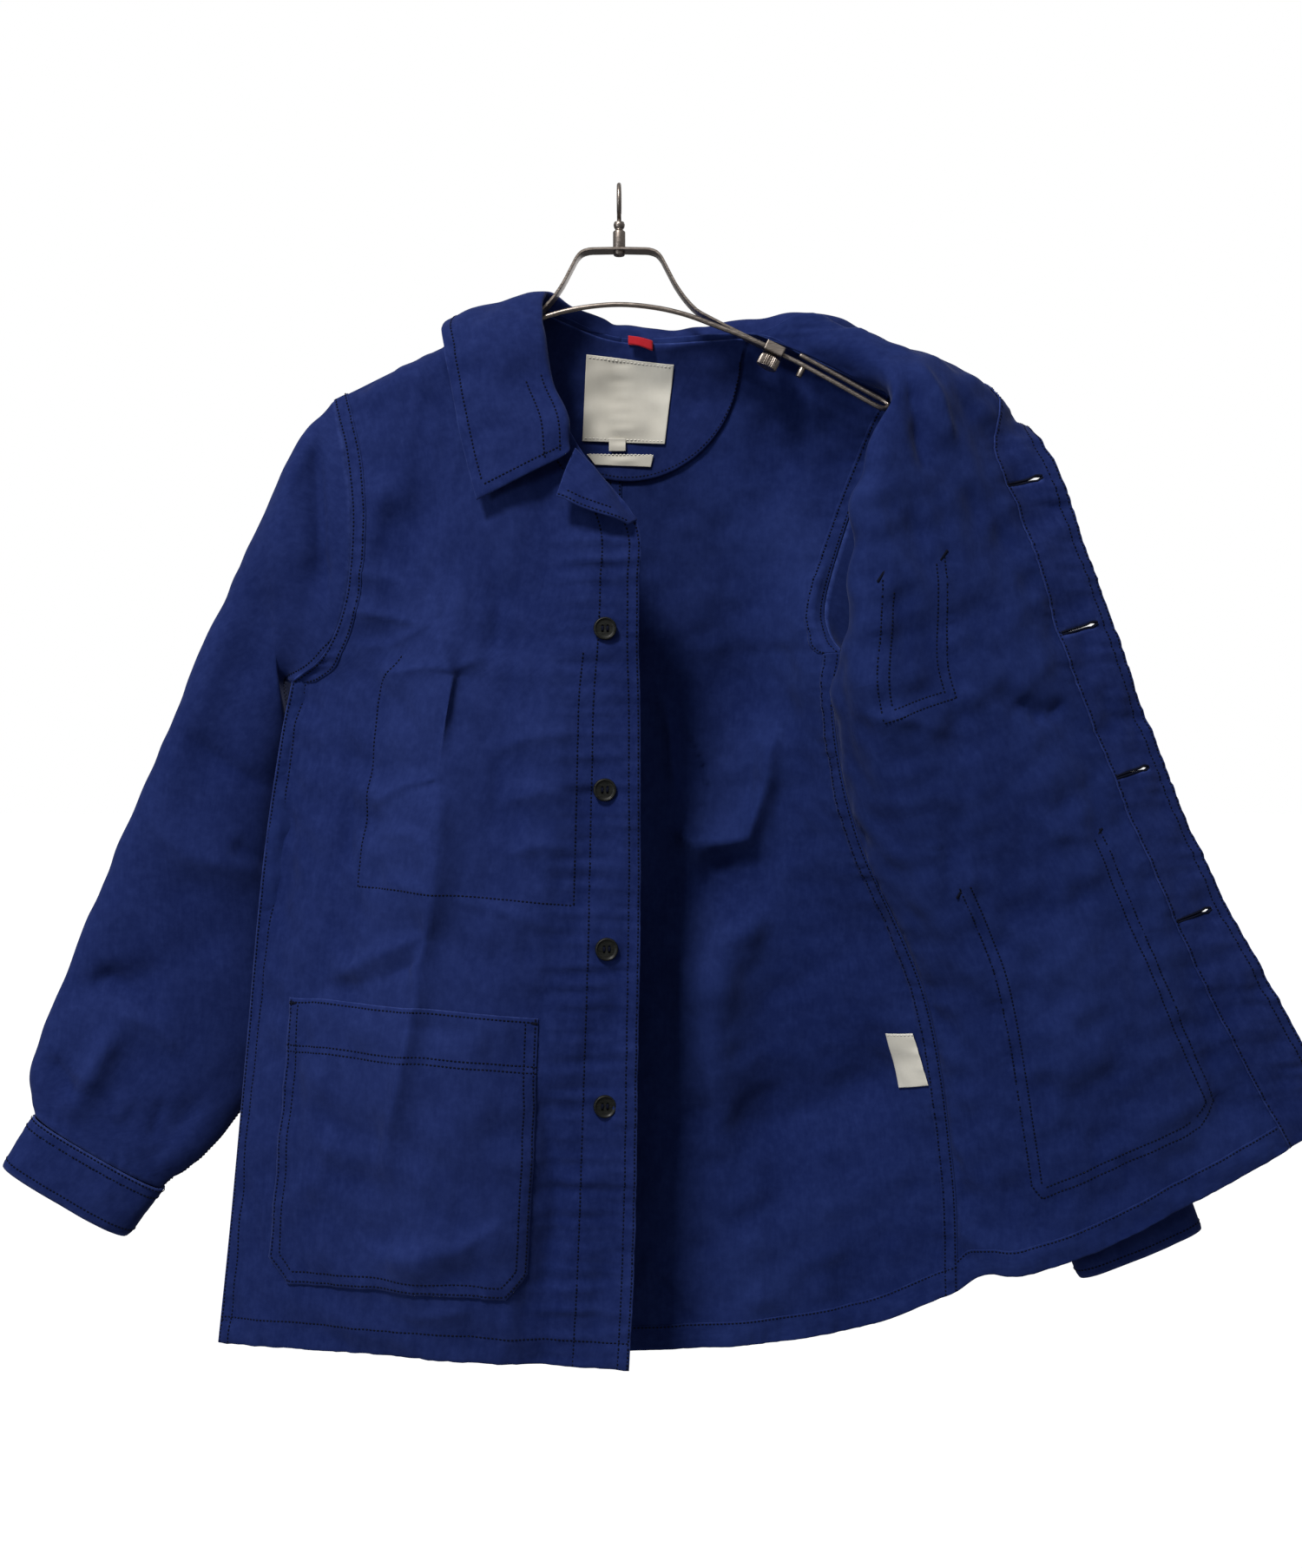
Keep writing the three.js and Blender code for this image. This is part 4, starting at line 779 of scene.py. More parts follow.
def node(tree, kind, values=None, links=None, **settings):
    """Adds a node, sets its options and plain values, and links its inputs."""
    new = tree.nodes.new(kind)
    for key, value in settings.items():
        setattr(new, key, value)
    for key, value in (values or {}).items():
        new.inputs[key].default_value = value
    for key, source in (links or {}).items():
        tree.links.new(source, new.inputs[key])
    return new


def maths(tree, operation, *inputs):
    """A math node on plain numbers and sockets."""
    new = node(tree, "ShaderNodeMath", operation=operation)
    for place, value in enumerate(inputs):
        if isinstance(value, (int, float)):
            new.inputs[place].default_value = value
        else:
            tree.links.new(value, new.inputs[place])
    return new.outputs[0]


def ranged(tree, source, before, after):
    """Maps the range before of a value to the range after."""
    values = {"From Min": before[0], "From Max": before[1], "To Min": after[0], "To Max": after[1]}
    return node(tree, "ShaderNodeMapRange", values, {"Value": source}).outputs[0]


def weave_group():
    """Relief of crossing threads, with the uneven thickness of the yarn."""
    group = bpy.data.node_groups.new("weave", "ShaderNodeTree")
    socket(group, "Place", "NodeSocketVector")
    socket(group, "Threads per metre", "NodeSocketFloat", 2400)
    socket(group, "Slant", "NodeSocketFloat", 0.5)
    socket(group, "Height", "NodeSocketFloat", out=True)
    socket(group, "Slub", "NodeSocketFloat", out=True)
    inside = node(group, "NodeGroupInput")
    parts = node(group, "ShaderNodeSeparateXYZ", links={0: inside.outputs["Place"]})
    count = inside.outputs["Threads per metre"]
    x = maths(group, "MULTIPLY", parts.outputs["X"], count)
    y = maths(group, "MULTIPLY", parts.outputs["Y"], count)
    lean = maths(group, "MULTIPLY_ADD", y, inside.outputs["Slant"], x)
    warp = maths(group, "MULTIPLY", lean, math.tau)
    weft = maths(group, "MULTIPLY", y, math.tau)
    warp_wave = maths(group, "SINE", warp)
    weft_wave = maths(group, "SINE", weft)
    crossed = maths(group, "MULTIPLY_ADD", weft_wave, WEFT_SHARE, warp_wave)
    stretch = node(group, "ShaderNodeMapping", {"Scale": (420, 60, 1)}, {"Vector": inside.outputs["Place"]})
    slub = node(group, "ShaderNodeTexNoise", {"Scale": 1.0, "Detail": 3, "Roughness": 0.6},
                {"Vector": stretch.outputs[0]})
    raised = maths(group, "MULTIPLY_ADD", slub.outputs["Fac"], SLUB_SHARE, crossed)
    outside = node(group, "NodeGroupOutput")
    group.links.new(raised, outside.inputs["Height"])
    group.links.new(slub.outputs["Fac"], outside.inputs["Slub"])
    return group


def washed_and_fold_shade_group():
    """Colour of washed, garment-dyed cloth: mottled and worn at folded edges; paler on wrinkle ridges and
    darker in their hollows, partly wash fading and partly painted highlight and painted shade of the folds.
    """
    group = bpy.data.node_groups.new("washed colour and fold shade", "ShaderNodeTree")
    socket(group, "Dye", "NodeSocketColor", (0.02, 0.03, 0.1, 1))
    socket(group, "Faded", "NodeSocketColor", (0.06, 0.08, 0.2, 1))
    socket(group, "Edge", "NodeSocketFloat", 0)
    socket(group, "Fold", "NodeSocketFloat", 0)
    socket(group, "Slub", "NodeSocketFloat", 0.5)
    socket(group, "Color", "NodeSocketColor", out=True)
    socket(group, "Roughness", "NodeSocketFloat", out=True)
    inside = node(group, "NodeGroupInput")
    place = node(group, "ShaderNodeTexCoord")
    clouds = node(group, "ShaderNodeTexNoise",
                  {"Scale": 9, "Detail": 5, "Roughness": 0.62, "Distortion": 0.4},
                  {"Vector": place.outputs["Object"]}).outputs["Fac"]
    specks = node(group, "ShaderNodeTexNoise", {"Scale": 160, "Detail": 3, "Roughness": 0.7},
                  {"Vector": place.outputs["Object"]}).outputs["Fac"]
    total = ranged(group, clouds, (0.35, 0.7), (0.0, 0.07))
    speckled = ranged(group, specks, (0.4, 0.75), (0.0, 0.16))
    slubbed = ranged(group, inside.outputs["Slub"], (0.3, 0.75), (-0.02, 0.07))
    # wrinkle height as colour: ridges paler and hollows darker, partly wash fading and partly painted
    # highlight and painted shade
    ridge = ranged(group, inside.outputs["Fold"], (-3.0, 4.0), (-0.03, 0.09))
    rub = ranged(group, specks, (0.3, 0.62), (0.25, 1.0))
    worn = maths(group, "MULTIPLY", inside.outputs["Edge"], rub)
    worn_share = maths(group, "MULTIPLY", worn, WORN_SHARE)
    for part in (speckled, slubbed, ridge, worn_share):
        total = maths(group, "ADD", total, part)
    share = node(group, "ShaderNodeClamp", links={"Value": total})
    mix = group.nodes.new("ShaderNodeMix")
    mix.data_type = "RGBA"
    group.links.new(share.outputs[0], mix.inputs[0])
    group.links.new(inside.outputs["Dye"], mix.inputs[6])
    group.links.new(inside.outputs["Faded"], mix.inputs[7])
    rough = ranged(group, share.outputs[0], (0, 1), (0.88, 0.74))
    outside = node(group, "NodeGroupOutput")
    group.links.new(mix.outputs[2], outside.inputs["Color"])
    group.links.new(rough, outside.inputs["Roughness"])
    return group


WEAVE_DEEP = 0.00002
WEAVE = weave_group()
WASHED_AND_FOLD_SHADE = washed_and_fold_shade_group()


def new_finish(name):
    """A material with its node tree and its Principled shader."""
    finish = bpy.data.materials.new(name)
    finish.use_nodes = True
    return finish, finish.node_tree, finish.node_tree.nodes["Principled BSDF"]


def cloth_finish(name, dye, faded, threads=2400, bump=0.25, sheen=0.3, tint=(0.5, 0.6, 1, 1), slant=0.5):
    """A woven finish: weave, wash mottling, worn edges and the painted highlight and shade of the folds feed
    one Principled shader.
    """
    finish, tree, shader = new_finish(name)
    place = node(tree, "ShaderNodeUVMap", uv_map="cloth")
    weave = node(tree, "ShaderNodeGroup", node_tree=WEAVE)
    weave.inputs["Threads per metre"].default_value = threads
    weave.inputs["Slant"].default_value = slant
    tree.links.new(place.outputs["UV"], weave.inputs["Place"])
    edge = node(tree, "ShaderNodeAttribute", attribute_name="edge")
    # fold is the wrinkle height, painted as paler ridges and darker hollows: partly wash fading, partly
    # painted highlight and shade
    fold = node(tree, "ShaderNodeAttribute", attribute_name="fold")
    washed = node(tree, "ShaderNodeGroup", node_tree=WASHED_AND_FOLD_SHADE)
    washed.inputs["Dye"].default_value = (*dye, 1)
    washed.inputs["Faded"].default_value = (*faded, 1)
    tree.links.new(edge.outputs["Fac"], washed.inputs["Edge"])
    tree.links.new(fold.outputs["Fac"], washed.inputs["Fold"])
    tree.links.new(weave.outputs["Slub"], washed.inputs["Slub"])
    tree.links.new(washed.outputs["Color"], shader.inputs["Base Color"])
    tree.links.new(washed.outputs["Roughness"], shader.inputs["Roughness"])
    relief = node(tree, "ShaderNodeBump", {"Strength": bump, "Distance": WEAVE_DEEP},
                  {"Height": weave.outputs["Height"]})
    tree.links.new(relief.outputs["Normal"], shader.inputs["Normal"])
    shader.inputs["Specular IOR Level"].default_value = 0.12
    shader.inputs["Sheen Weight"].default_value = sheen
    shader.inputs["Sheen Roughness"].default_value = 0.45
    shader.inputs["Sheen Tint"].default_value = tint
    return finish


def grained_finish(name, low, high, roughness, stretch=(1, 1, 1), scale=300, bump=0.2, metallic=0.0,
                   reach=0.0002):
    """A finish whose colour, roughness and relief follow a stretched grain."""
    finish, tree, shader = new_finish(name)
    place = node(tree, "ShaderNodeTexCoord")
    turned = node(tree, "ShaderNodeMapping", {"Scale": stretch}, {"Vector": place.outputs["Object"]})
    grain = node(tree, "ShaderNodeTexNoise", {"Scale": scale, "Detail": 4, "Roughness": 0.6},
                 {"Vector": turned.outputs[0]})
    colours = node(tree, "ShaderNodeValToRGB", links={"Fac": grain.outputs["Fac"]})
    for stop, position, colour in ((0, 0.32, low), (1, 0.68, high)):
        colours.color_ramp.elements[stop].position = position
        colours.color_ramp.elements[stop].color = (*colour, 1)
    rough = ranged(tree, grain.outputs["Fac"], (0.3, 0.7), roughness)
    relief = node(tree, "ShaderNodeBump", {"Strength": bump, "Distance": reach},
                  {"Height": grain.outputs["Fac"]})
    tree.links.new(colours.outputs["Color"], shader.inputs["Base Color"])
    tree.links.new(rough, shader.inputs["Roughness"])
    tree.links.new(relief.outputs["Normal"], shader.inputs["Normal"])
    shader.inputs["Metallic"].default_value = metallic
    return finish


moleskin = cloth_finish("moleskin", (0.0045, 0.0125, 0.080), (0.034, 0.060, 0.24), sheen=0.10)
moleskin_inside = cloth_finish("moleskin inside", (0.0043, 0.0125, 0.080), (0.030, 0.057, 0.23), sheen=0.08)
label_cloth = cloth_finish("label cloth", (0.66, 0.64, 0.57), (0.8, 0.79, 0.74), 1500, 0.3, 0.1,
                           (1, 1, 1, 1), 0.0)
red_tape = cloth_finish("red tape", (0.42, 0.012, 0.022), (0.62, 0.05, 0.06), 1300, 0.5, 0.2,
                        (1, 0.6, 0.6, 1))
# dark navy thread, made darker still with painted shade of the furrow along each row
thread = grained_finish("dark thread", (0.0012, 0.0020, 0.0080), (0.0040, 0.0060, 0.020), (0.6, 0.8),
                        scale=2600)
pale_thread = grained_finish("pale thread", (0.60, 0.58, 0.52), (0.84, 0.83, 0.79), (0.6, 0.8), scale=2600)
for yarn in (thread, pale_thread):
    yarn.node_tree.nodes["Principled BSDF"].inputs["Specular IOR Level"].default_value = 0.1
horn = grained_finish("horn", (0.0035, 0.0040, 0.0038), (0.013, 0.014, 0.012), (0.34, 0.5), (1, 1, 4), 190,
                      0.15)
horn.node_tree.nodes["Principled BSDF"].inputs["Specular IOR Level"].default_value = 0.25
steel = grained_finish("brushed steel", (0.20, 0.17, 0.15), (0.40, 0.35, 0.315), (0.3, 0.46),
                       (0.12, 1.6, 1.6), 1400, 0.25, 1.0, 0.00008)
print("finishes:", len(bpy.data.materials))

# %% [markdown]
# Most seams of a work jacket are flat: the edge is folded, laid on its neighbour and stitched down twice.
# A narrow strip of cloth along the seam shows that fold with its own worn edge. The same strip, wider and on
# the inside, is a turned-up hem. Each one is laid a few millimetres in from an edge of its panel.

# %% Strips, edge rows and outlines
STRIP = 0.8
STRIP_LIFT = (CLOTH + STRIP) / 2


def from_edge(form, axis, place, along, distance):
    """The table places that lie a distance in millimetres in from an edge."""
    along = np.asarray(along, float)
    u, v = (place + 0 * along, along) if axis == "u" else (along, place + 0 * along)
    spot = Spot(form, u, v)
    own, run = (spot.across, spot.up) if axis == "u" else (spot.up, spot.across)
    width = np.linalg.norm(np.cross(own, run), axis=1) / np.linalg.norm(run, axis=1)
    shift = distance / width
    return (u + shift, v) if axis == "u" else (u, v + shift)


def strip(name, cloth, axis, place, span, width, inward, finishes, group, side=1, rows=(1.4,), worn=0.35):
    """A folded band of cloth along an edge, with its rows of stitches."""
    across = np.linspace(0, width, max(4, round(width / 2) + 1))
    along = grid_lines(cloth.form, "v" if axis == "u" else "u", *span, [place], SPACING)

    def bend(s, t):
        return from_edge(cloth.form, axis, place, t, inward * s)

    piece = wall(name, cloth, across, along, finishes, lift=side * STRIP_LIFT, thickness=STRIP,
                 worn=worn, edge=0.3, bend=bend)
    for inset in rows:
        edge_row(group, cloth, axis, place, span, inward * inset, side * (STRIP_LIFT + STRIP / 2), side)
        edge_row(group, cloth, axis, place, span, inward * inset, -side * CLOTH / 2, -side)
    return piece


def edge_row(group, cloth, axis, place, span, inset, lift, side=1, trim=0.0):
    """A row of stitches along an edge, inset millimetres along the growing coordinate."""
    along = np.linspace(*span, 80)
    u, v = from_edge(cloth.form, axis, place, along, inset)
    stitch_row(group, cloth, np.stack([u, v], axis=1), lift + side * STITCH_RAISE, 0, side, trim)


def outline_rows(group, cloth, path, insets, lift, side=1):
    """Rows inside an outline of (u, v) corners; each side is cut back where it turns."""
    path = np.array(path, float)
    corners = cloth.form(path[:, 0], path[:, 1])
    runs = np.diff(corners, axis=0)
    runs /= np.linalg.norm(runs, axis=1)[:, None]
    turns = [0, *np.arccos(np.clip((runs[1:] * runs[:-1]).sum(1), -1, 1)), 0]
    for inset in insets:
        for k in range(len(path) - 1):
            cut = abs(inset) * max(math.tan(turns[k] / 2), math.tan(turns[k + 1] / 2))
            stitch_row(group, cloth, path[k:k + 2], lift + side * STITCH_RAISE, inset, side, cut)


def bartack(group, cloth, u, v, lift, side=1, long=8, angle=0.0):
    """A short dense bar of thread at a pocket corner."""
    spot = Spot(cloth.form, np.array([u]), np.array([v]))
    east = spot.across[0] / spot.wide[0]
    north = np.cross(spot.normal[0], east)
    way = east * math.cos(angle) + north * math.sin(angle)
    cross = np.cross(spot.normal[0], way)
    centre = cloth.lay([u], [v], lift)[0][0]
    for k in range(round(long / BARTACK_PITCH)):
        at = centre + way * (k * BARTACK_PITCH - long / 2)
        put_stitches(group, at[None], (cross * side + way * 0.25)[None], spot.normal * side, 1.1)


print("strips stand", round(STRIP_LIFT + STRIP / 2, 2), "mm over the middle of their panel")

# %% [markdown]
# The right front is cut in one piece from shoulder to hem. It hangs straight, with its front edge turned in
# under a facing, and its armhole seam is felled and stitched twice on the body side. The photograph places
# each crease: pulls from the armhole, a trough beside the inner pocket and a long valley through the hip.

# %% Right front
RIGHT_FRONT_DRAPES = {
    "main ridge": ([(-121, -235), (-122, -288), (-113, -338), (-113, -400),
        (-119, -457), (-124, -505), (-132, -569), (-142, -624), (-150, -658), (-164, -727)], 12, 26, 15.5),
    "scye wrinkle": ([(-186, -293), (-154, -298), (-123, -306)], 5.6, 3.2, 3.2),
    "scye wrinkle low": ([(-184, -318), (-154, -318), (-121, -302)], 4, 4.8, 2.6),
    "yoke wrinkle": ([(-188, -267), (-150, -274), (-124, -287)], 6.4, 4.8, 2.9),
    "pocket top": ([(-169, -339), (-124, -333), (-75, -326)], 4, 7.2, 2.9),
    "pocket wave": ([(-169, -428), (-142, -413), (-116, -408)], 5.6, 3.2, 3.2),
    "pocket wave low": ([(-165, -445), (-136, -447), (-120, -460)], 6.4, 4, 2.6),
    "rib wave": ([(-160, -476), (-136, -481), (-120, -484)], 4.8, 4, 2.3),
    "waist drag": ([(-198, -545), (-160, -526), (-124, -509)], 4.8, 7.2, 4.3),
    "waist drag east": ([(-117, -486), (-72, -499), (-28, -513)], 6.4, 5.6, 3.2),
    "placket pull": ([(-89, -392), (-60, -381), (-26, -379)], 4.8, 4, 2.3),
    "placket pull mid": ([(-80, -425), (-51, -417), (-26, -421)], 4.8, 4, 2.3),
    "placket pull low": ([(-78, -460), (-48, -452), (-26, -457)], 4.8, 4, 2.3),
    "side valley": ([(-184, -352), (-185, -410), (-182, -475)], 11.2, 8, -4.3),
    "side valley low": ([(-224, -369), (-229, -445), (-242, -527)], 11.2, 9.6, -3.6),
    "placket valley": ([(-51, -618), (-42, -685), (-46, -753)], 7.2, 5.6, -4.6),
    "pouch": ([(-183, -714), (-157, -730), (-107, -722), (-67, -698)], 5.6, 11.2, 4.3),
    "pouch wave": ([(-189, -644), (-212, -697)], 6.4, 6.4, 2.2),
    "hip wave": ([(-171, -762), (-136, -770), (-89, -762)], 5.6, 5.6, 2),
    "collar shade": ([(-89, -240), (-80, -293), (-86, -340)], 9.6, 12.8, -4.6),
    "mouth dip": ([(-142, -565), (-137, -574), (-89, -578)], 6.4, 6.4, -2.3),
}
front_cloth = Cloth(
    right_front, drapes(RIGHT_FRONT_DRAPES), crumple(11, 1.32, 120, 45, 12, (1.5, 1, 0.6)),
    crumple(16, 0.75, 45, 14), puckers(12, "u", 0, 0.84, 11, 8.5, (UNDERARM, 12)),
    puckers(13, "u", 0, 0.42, 9, 11, (0, UNDERARM)), puckers(14, "u", 3.42, 1.05, 24, 15, (0, 8.5)),
    puckers(17, "u", 3.9, 0.59, 13, 10, (0, 8.5)), puckers(15, "v", 0, 0.56, 14, 12),
    seams=[("u", 0), ("v", 12)],
)
us = grid_lines(right_front, "u", 0, 4, [0.5, 3, 6, 9], SPACING)
vs = grid_lines(right_front, "v", 0, 12, [0.5, 2, 3.5], SPACING)
front = wall("right_front", front_cloth, us, vs, [moleskin, moleskin_inside], node="front_right")
FRONT_ROWS = "right_front_stitches"
INSIDE_PAIR = [moleskin_inside] * 2
bands = [
    strip("right_armhole_fell", front_cloth, "u", 0, (UNDERARM, 12), 10.5, 1, [moleskin] * 2, FRONT_ROWS,
          rows=(1.6, 9)),
    strip("right_hem", front_cloth, "v", 0, (0, 4), 20, 1, INSIDE_PAIR, FRONT_ROWS, side=-1, rows=(18.6,)),
    strip("right_side_fell", front_cloth, "u", 0, (0, UNDERARM), 10, 1, INSIDE_PAIR, FRONT_ROWS, side=-1,
          rows=(1.6, 8.6)),
]

# %% [markdown]
# The buttons' side has a facing inside, stitched down 38 mm from the edge, and two more rows along the edge.
# The inner pocket hangs behind the front, so that outside only its stitches and a faint step show.

# %% Facing, inner pocket and hip pocket of the right front
LAYER = CLOTH + 0.32
LAYER_THIN = 1.1
PLACKET_INNER = 3.42
PLACKET_TOP = 8
INNER_POCKET = {"left": 1, "right": 3.32, "bottom": 2.92, "top": 6, "corner": 0}
HIP_POCKET = {"left": 0.42, "right": 2.96, "bottom": 0.53, "top": 2.27, "corner": 0.2}
MOUTH_DEEP = 35
POCKET_ROWS = (2, 8.6)


def pocket_path(pocket):
    """The sewn sides of a pocket: down the left, along the bottom and up the right."""
    left, right, bottom, top, cut = (pocket[key] for key in ("left", "right", "bottom", "top", "corner"))
    path = [(left, top), (left, bottom + cut), (left + cut, bottom), (right - cut, bottom),
            (right, bottom + cut), (right, top)]
    return path if cut else [path[0], (left, bottom), (right, bottom), path[-1]]


def pocket_piece(name, cloth, pocket, side, finishes, cad, seed, sag=0.0):
    """A patch pocket laid on a panel; its lower corners are cut off by drawing its sides in."""
    left, right, bottom, top, cut = (pocket[key] for key in ("left", "right", "bottom", "top", "corner"))
    middle = (left + right) / 2

    def bend(u, v):
        if cut:
            slip = cut * np.clip((bottom + cut - v) / cut, 0, 1)
            u = middle + (u - middle) * (1 - slip / (right - middle))
        return u, v

    def bulge(spot):
        east = np.clip((spot.u - left) / (right - left), 0, 1)
        north = np.clip((spot.v - bottom) / (top - bottom), 0, 1)
        return side * sag * np.sin(np.pi * east) * np.sin(np.pi * np.minimum(1, north * 0.6 + 0.15))

    def own_puckers(spot):
        total = 0
        for k, (axis, place) in enumerate((("u", left), ("u", right), ("v", bottom))):
            total = total + puckers(seed + k, axis, place, 0.3, 10, 9)(spot)
        return np.maximum(total, -0.25) * side

    own = Cloth(cloth.form, *cloth.wrinkles, own_puckers, bulge, seams=cloth.seams)
    us = grid_lines(cloth.form, "u", left, right, [bottom, top], SPACING)
    vs = grid_lines(cloth.form, "v", bottom, top, [left, right], SPACING)
    if cut:
        vs = np.unique(np.append(vs, bottom + cut))
    piece = wall(name, own, us, vs, finishes, lift=side * LAYER, thickness=LAYER_THIN, bend=bend,
                 node=cad)
    cloth_names[id(cloth)]
    return own


cloth_names = {id(front_cloth): "right_front"}
TOP_LIFT = LAYER + LAYER_THIN / 2
hip_cloth = pocket_piece("right_hip_pocket", front_cloth, HIP_POCKET, 1, [moleskin] * 2,
                         "hip_pocket_right", 61, 1.2)
outline_rows("right_hip_pocket_stitches", hip_cloth, pocket_path(HIP_POCKET), POCKET_ROWS, TOP_LIFT)
outline_rows(FRONT_ROWS, front_cloth, pocket_path(HIP_POCKET), POCKET_ROWS, -CLOTH / 2, -1)
for drop in (3, MOUTH_DEEP - 2, MOUTH_DEEP + 2.5):
    edge_row("right_hip_pocket_stitches", hip_cloth, "v", HIP_POCKET["top"],
             (HIP_POCKET["left"], HIP_POCKET["right"]), -drop, TOP_LIFT)
for u in (HIP_POCKET["left"] + 0.06, HIP_POCKET["right"] - 0.06):
    bartack("right_hip_pocket_stitches", hip_cloth, u, HIP_POCKET["top"] - 0.03, TOP_LIFT, 1, 7)
pocket_piece("right_inner_pocket", front_cloth, INNER_POCKET, -1, [moleskin_inside] * 2,
             "inner_pocket_right", 64)
outline_rows(FRONT_ROWS, front_cloth, pocket_path(INNER_POCKET), (2,), CLOTH / 2)
outline_rows(FRONT_ROWS, front_cloth, pocket_path(INNER_POCKET), (2,), -TOP_LIFT, -1)
us = grid_lines(right_front, "u", PLACKET_INNER, 4, [0.5, 3, 6, 8], SPACING)
vs = grid_lines(right_front, "v", 0, PLACKET_TOP, [PLACKET_INNER, 4], SPACING)
facing = wall("right_facing", front_cloth, us, vs, [moleskin, moleskin], lift=-LAYER,
              thickness=LAYER_THIN, node="facing_right")
edge_row(FRONT_ROWS, front_cloth, "u", PLACKET_INNER, (0, PLACKET_TOP + 1), 2, CLOTH / 2)
edge_row(FRONT_ROWS, front_cloth, "u", PLACKET_INNER, (0, PLACKET_TOP), 2, -TOP_LIFT, -1)
for inset in (1.6, 8):
    edge_row(FRONT_ROWS, front_cloth, "u", 4, (0, PLACKET_TOP), -inset, CLOTH / 2)
    edge_row(FRONT_ROWS, front_cloth, "u", 4, (0, PLACKET_TOP), -inset, -TOP_LIFT, -1)

# %% [markdown]
# The back is cut in two halves, joined by a felled seam down the middle. Its inside faces the camera: the
# seam bands, the turned-up hem and the half-moon facing all lie on this side.

# %% Back
BACK_DRAPES = {
    "belly": ([(24, -436), (41, -449), (56, -460), (94, -451), (111, -408), (119, -350)], 30, 6.5, 18),
    "under belly": ([(52, -474), (72, -492), (90, -516)], 13, 12, -7),
    "behind button": ([(22, -336), (30, -352), (36, -392), (43, -434)], 6, 12, 5),
    "hollow": ([(68, -659), (120, -649), (165, -633), (217, -604)], 44, 33.6, -11.6),
    "long ridge": ([(47, -479), (65, -539), (68, -656)], 20.8, 36.8, 8.7),
    "thin valley": ([(98, -379), (94, -432)], 4, 4.8, -2.9),
    "thin valley east": ([(125, -348), (115, -398), (113, -451)], 4.8, 5.6, -3.5),
    "front shade": ([(34, -348), (36, -410), (29, -444)], 9.6, 8, 4.3),
    "blade": ([(118, -199), (134, -286), (131, -367)], 20.8, 24, 7.2),
    "neck fold": ([(97, -143), (125, -199)], 11.2, 11.2, -4.3),
    "low dip": ([(19, -755), (41, -783), (53, -802)], 7.2, 5.6, -4.3),
    "low wave": ([(90, -721), (103, -796)], 14.4, 12.8, 3.6),
    "side dip": ([(177, -485), (202, -553), (208, -590)], 7.2, 8, -3.6),
    "hem wave": ([(153, -746), (162, -796)], 12.8, 11.2, -3.2),
    "behind ridge": ([(-96, -286), (-109, -472), (-133, -721)], 32, 32, 7.2),
    "behind valley": ([(-171, -323), (-196, -534), (-220, -752)], 27.2, 24, -5.8),
}
back_cloth = Cloth(
    back, drapes(BACK_DRAPES), crumple(21, 1.54, 130, 50, 12, (1.4, 1, 0.7)), crumple(26, 0.6, 45, 14),
    puckers(22, "u", 4, 0.42, 9, 12), puckers(23, "v", 0, 0.56, 14, 12), puckers(24, "u", 0, 0.42, 10, 10),
    puckers(25, "u", 8, 0.98, 14, 9), seams=[("u", 0), ("u", 8), ("v", 12)],
)
cloth_names[id(back_cloth)] = "back_left_half"
vs = grid_lines(back, "v", 0, 12, [1, 4, 7], SPACING)
BACK_ROWS = "back_stitches"
bands = {
    "back_right_half": [
        strip("back_right_hem", back_cloth, "v", 0, (0, 4), 18, 1, INSIDE_PAIR, BACK_ROWS, rows=(16.6,)),
        strip("back_right_armhole_fell", back_cloth, "u", 0, (UNDERARM, 12), 10.5, 1, [moleskin] * 2,
              BACK_ROWS, side=-1, rows=(1.6, 9)),
    ],
    "back_left_half": [
        strip("back_middle_fell", back_cloth, "u", 4, (0, 10.4), 9, -1, INSIDE_PAIR, BACK_ROWS,
              rows=(1.4, 7.6), worn=0.5),
        strip("back_left_hem", back_cloth, "v", 0, (4, 8), 18, 1, INSIDE_PAIR, BACK_ROWS, rows=(16.6,)),
        strip("back_left_side_fell", back_cloth, "u", 8, (0, UNDERARM), 10.5, -1, INSIDE_PAIR, BACK_ROWS,
              rows=(1.6, 8.8)),
        strip("back_left_armhole_fell", back_cloth, "u", 8, (UNDERARM, 12), 11, -1, INSIDE_PAIR, BACK_ROWS,
              rows=(1.8, 9)),
    ],
}
for name, start, end, cad in (("back_right_half", 0, 4, "back_right"), ("back_left_half", 4, 8, "back_left")):
    us = grid_lines(back, "u", start, end, [0.5, 3, 6, 9], SPACING * 1.1)
    half = wall(name, back_cloth, us, vs, [moleskin_inside, moleskin], node=cad, worn=0.6)

# %% [markdown]
# The left front is turned back over the left sleeve, so that its wrong side and its facing show. The patch
# pockets are on the far side: here they show as rows of thread, bartacks and a ghost of their edges in
# puckers, paler on the ridges with wear and painted highlight, and darker in the hollows with painted shade.

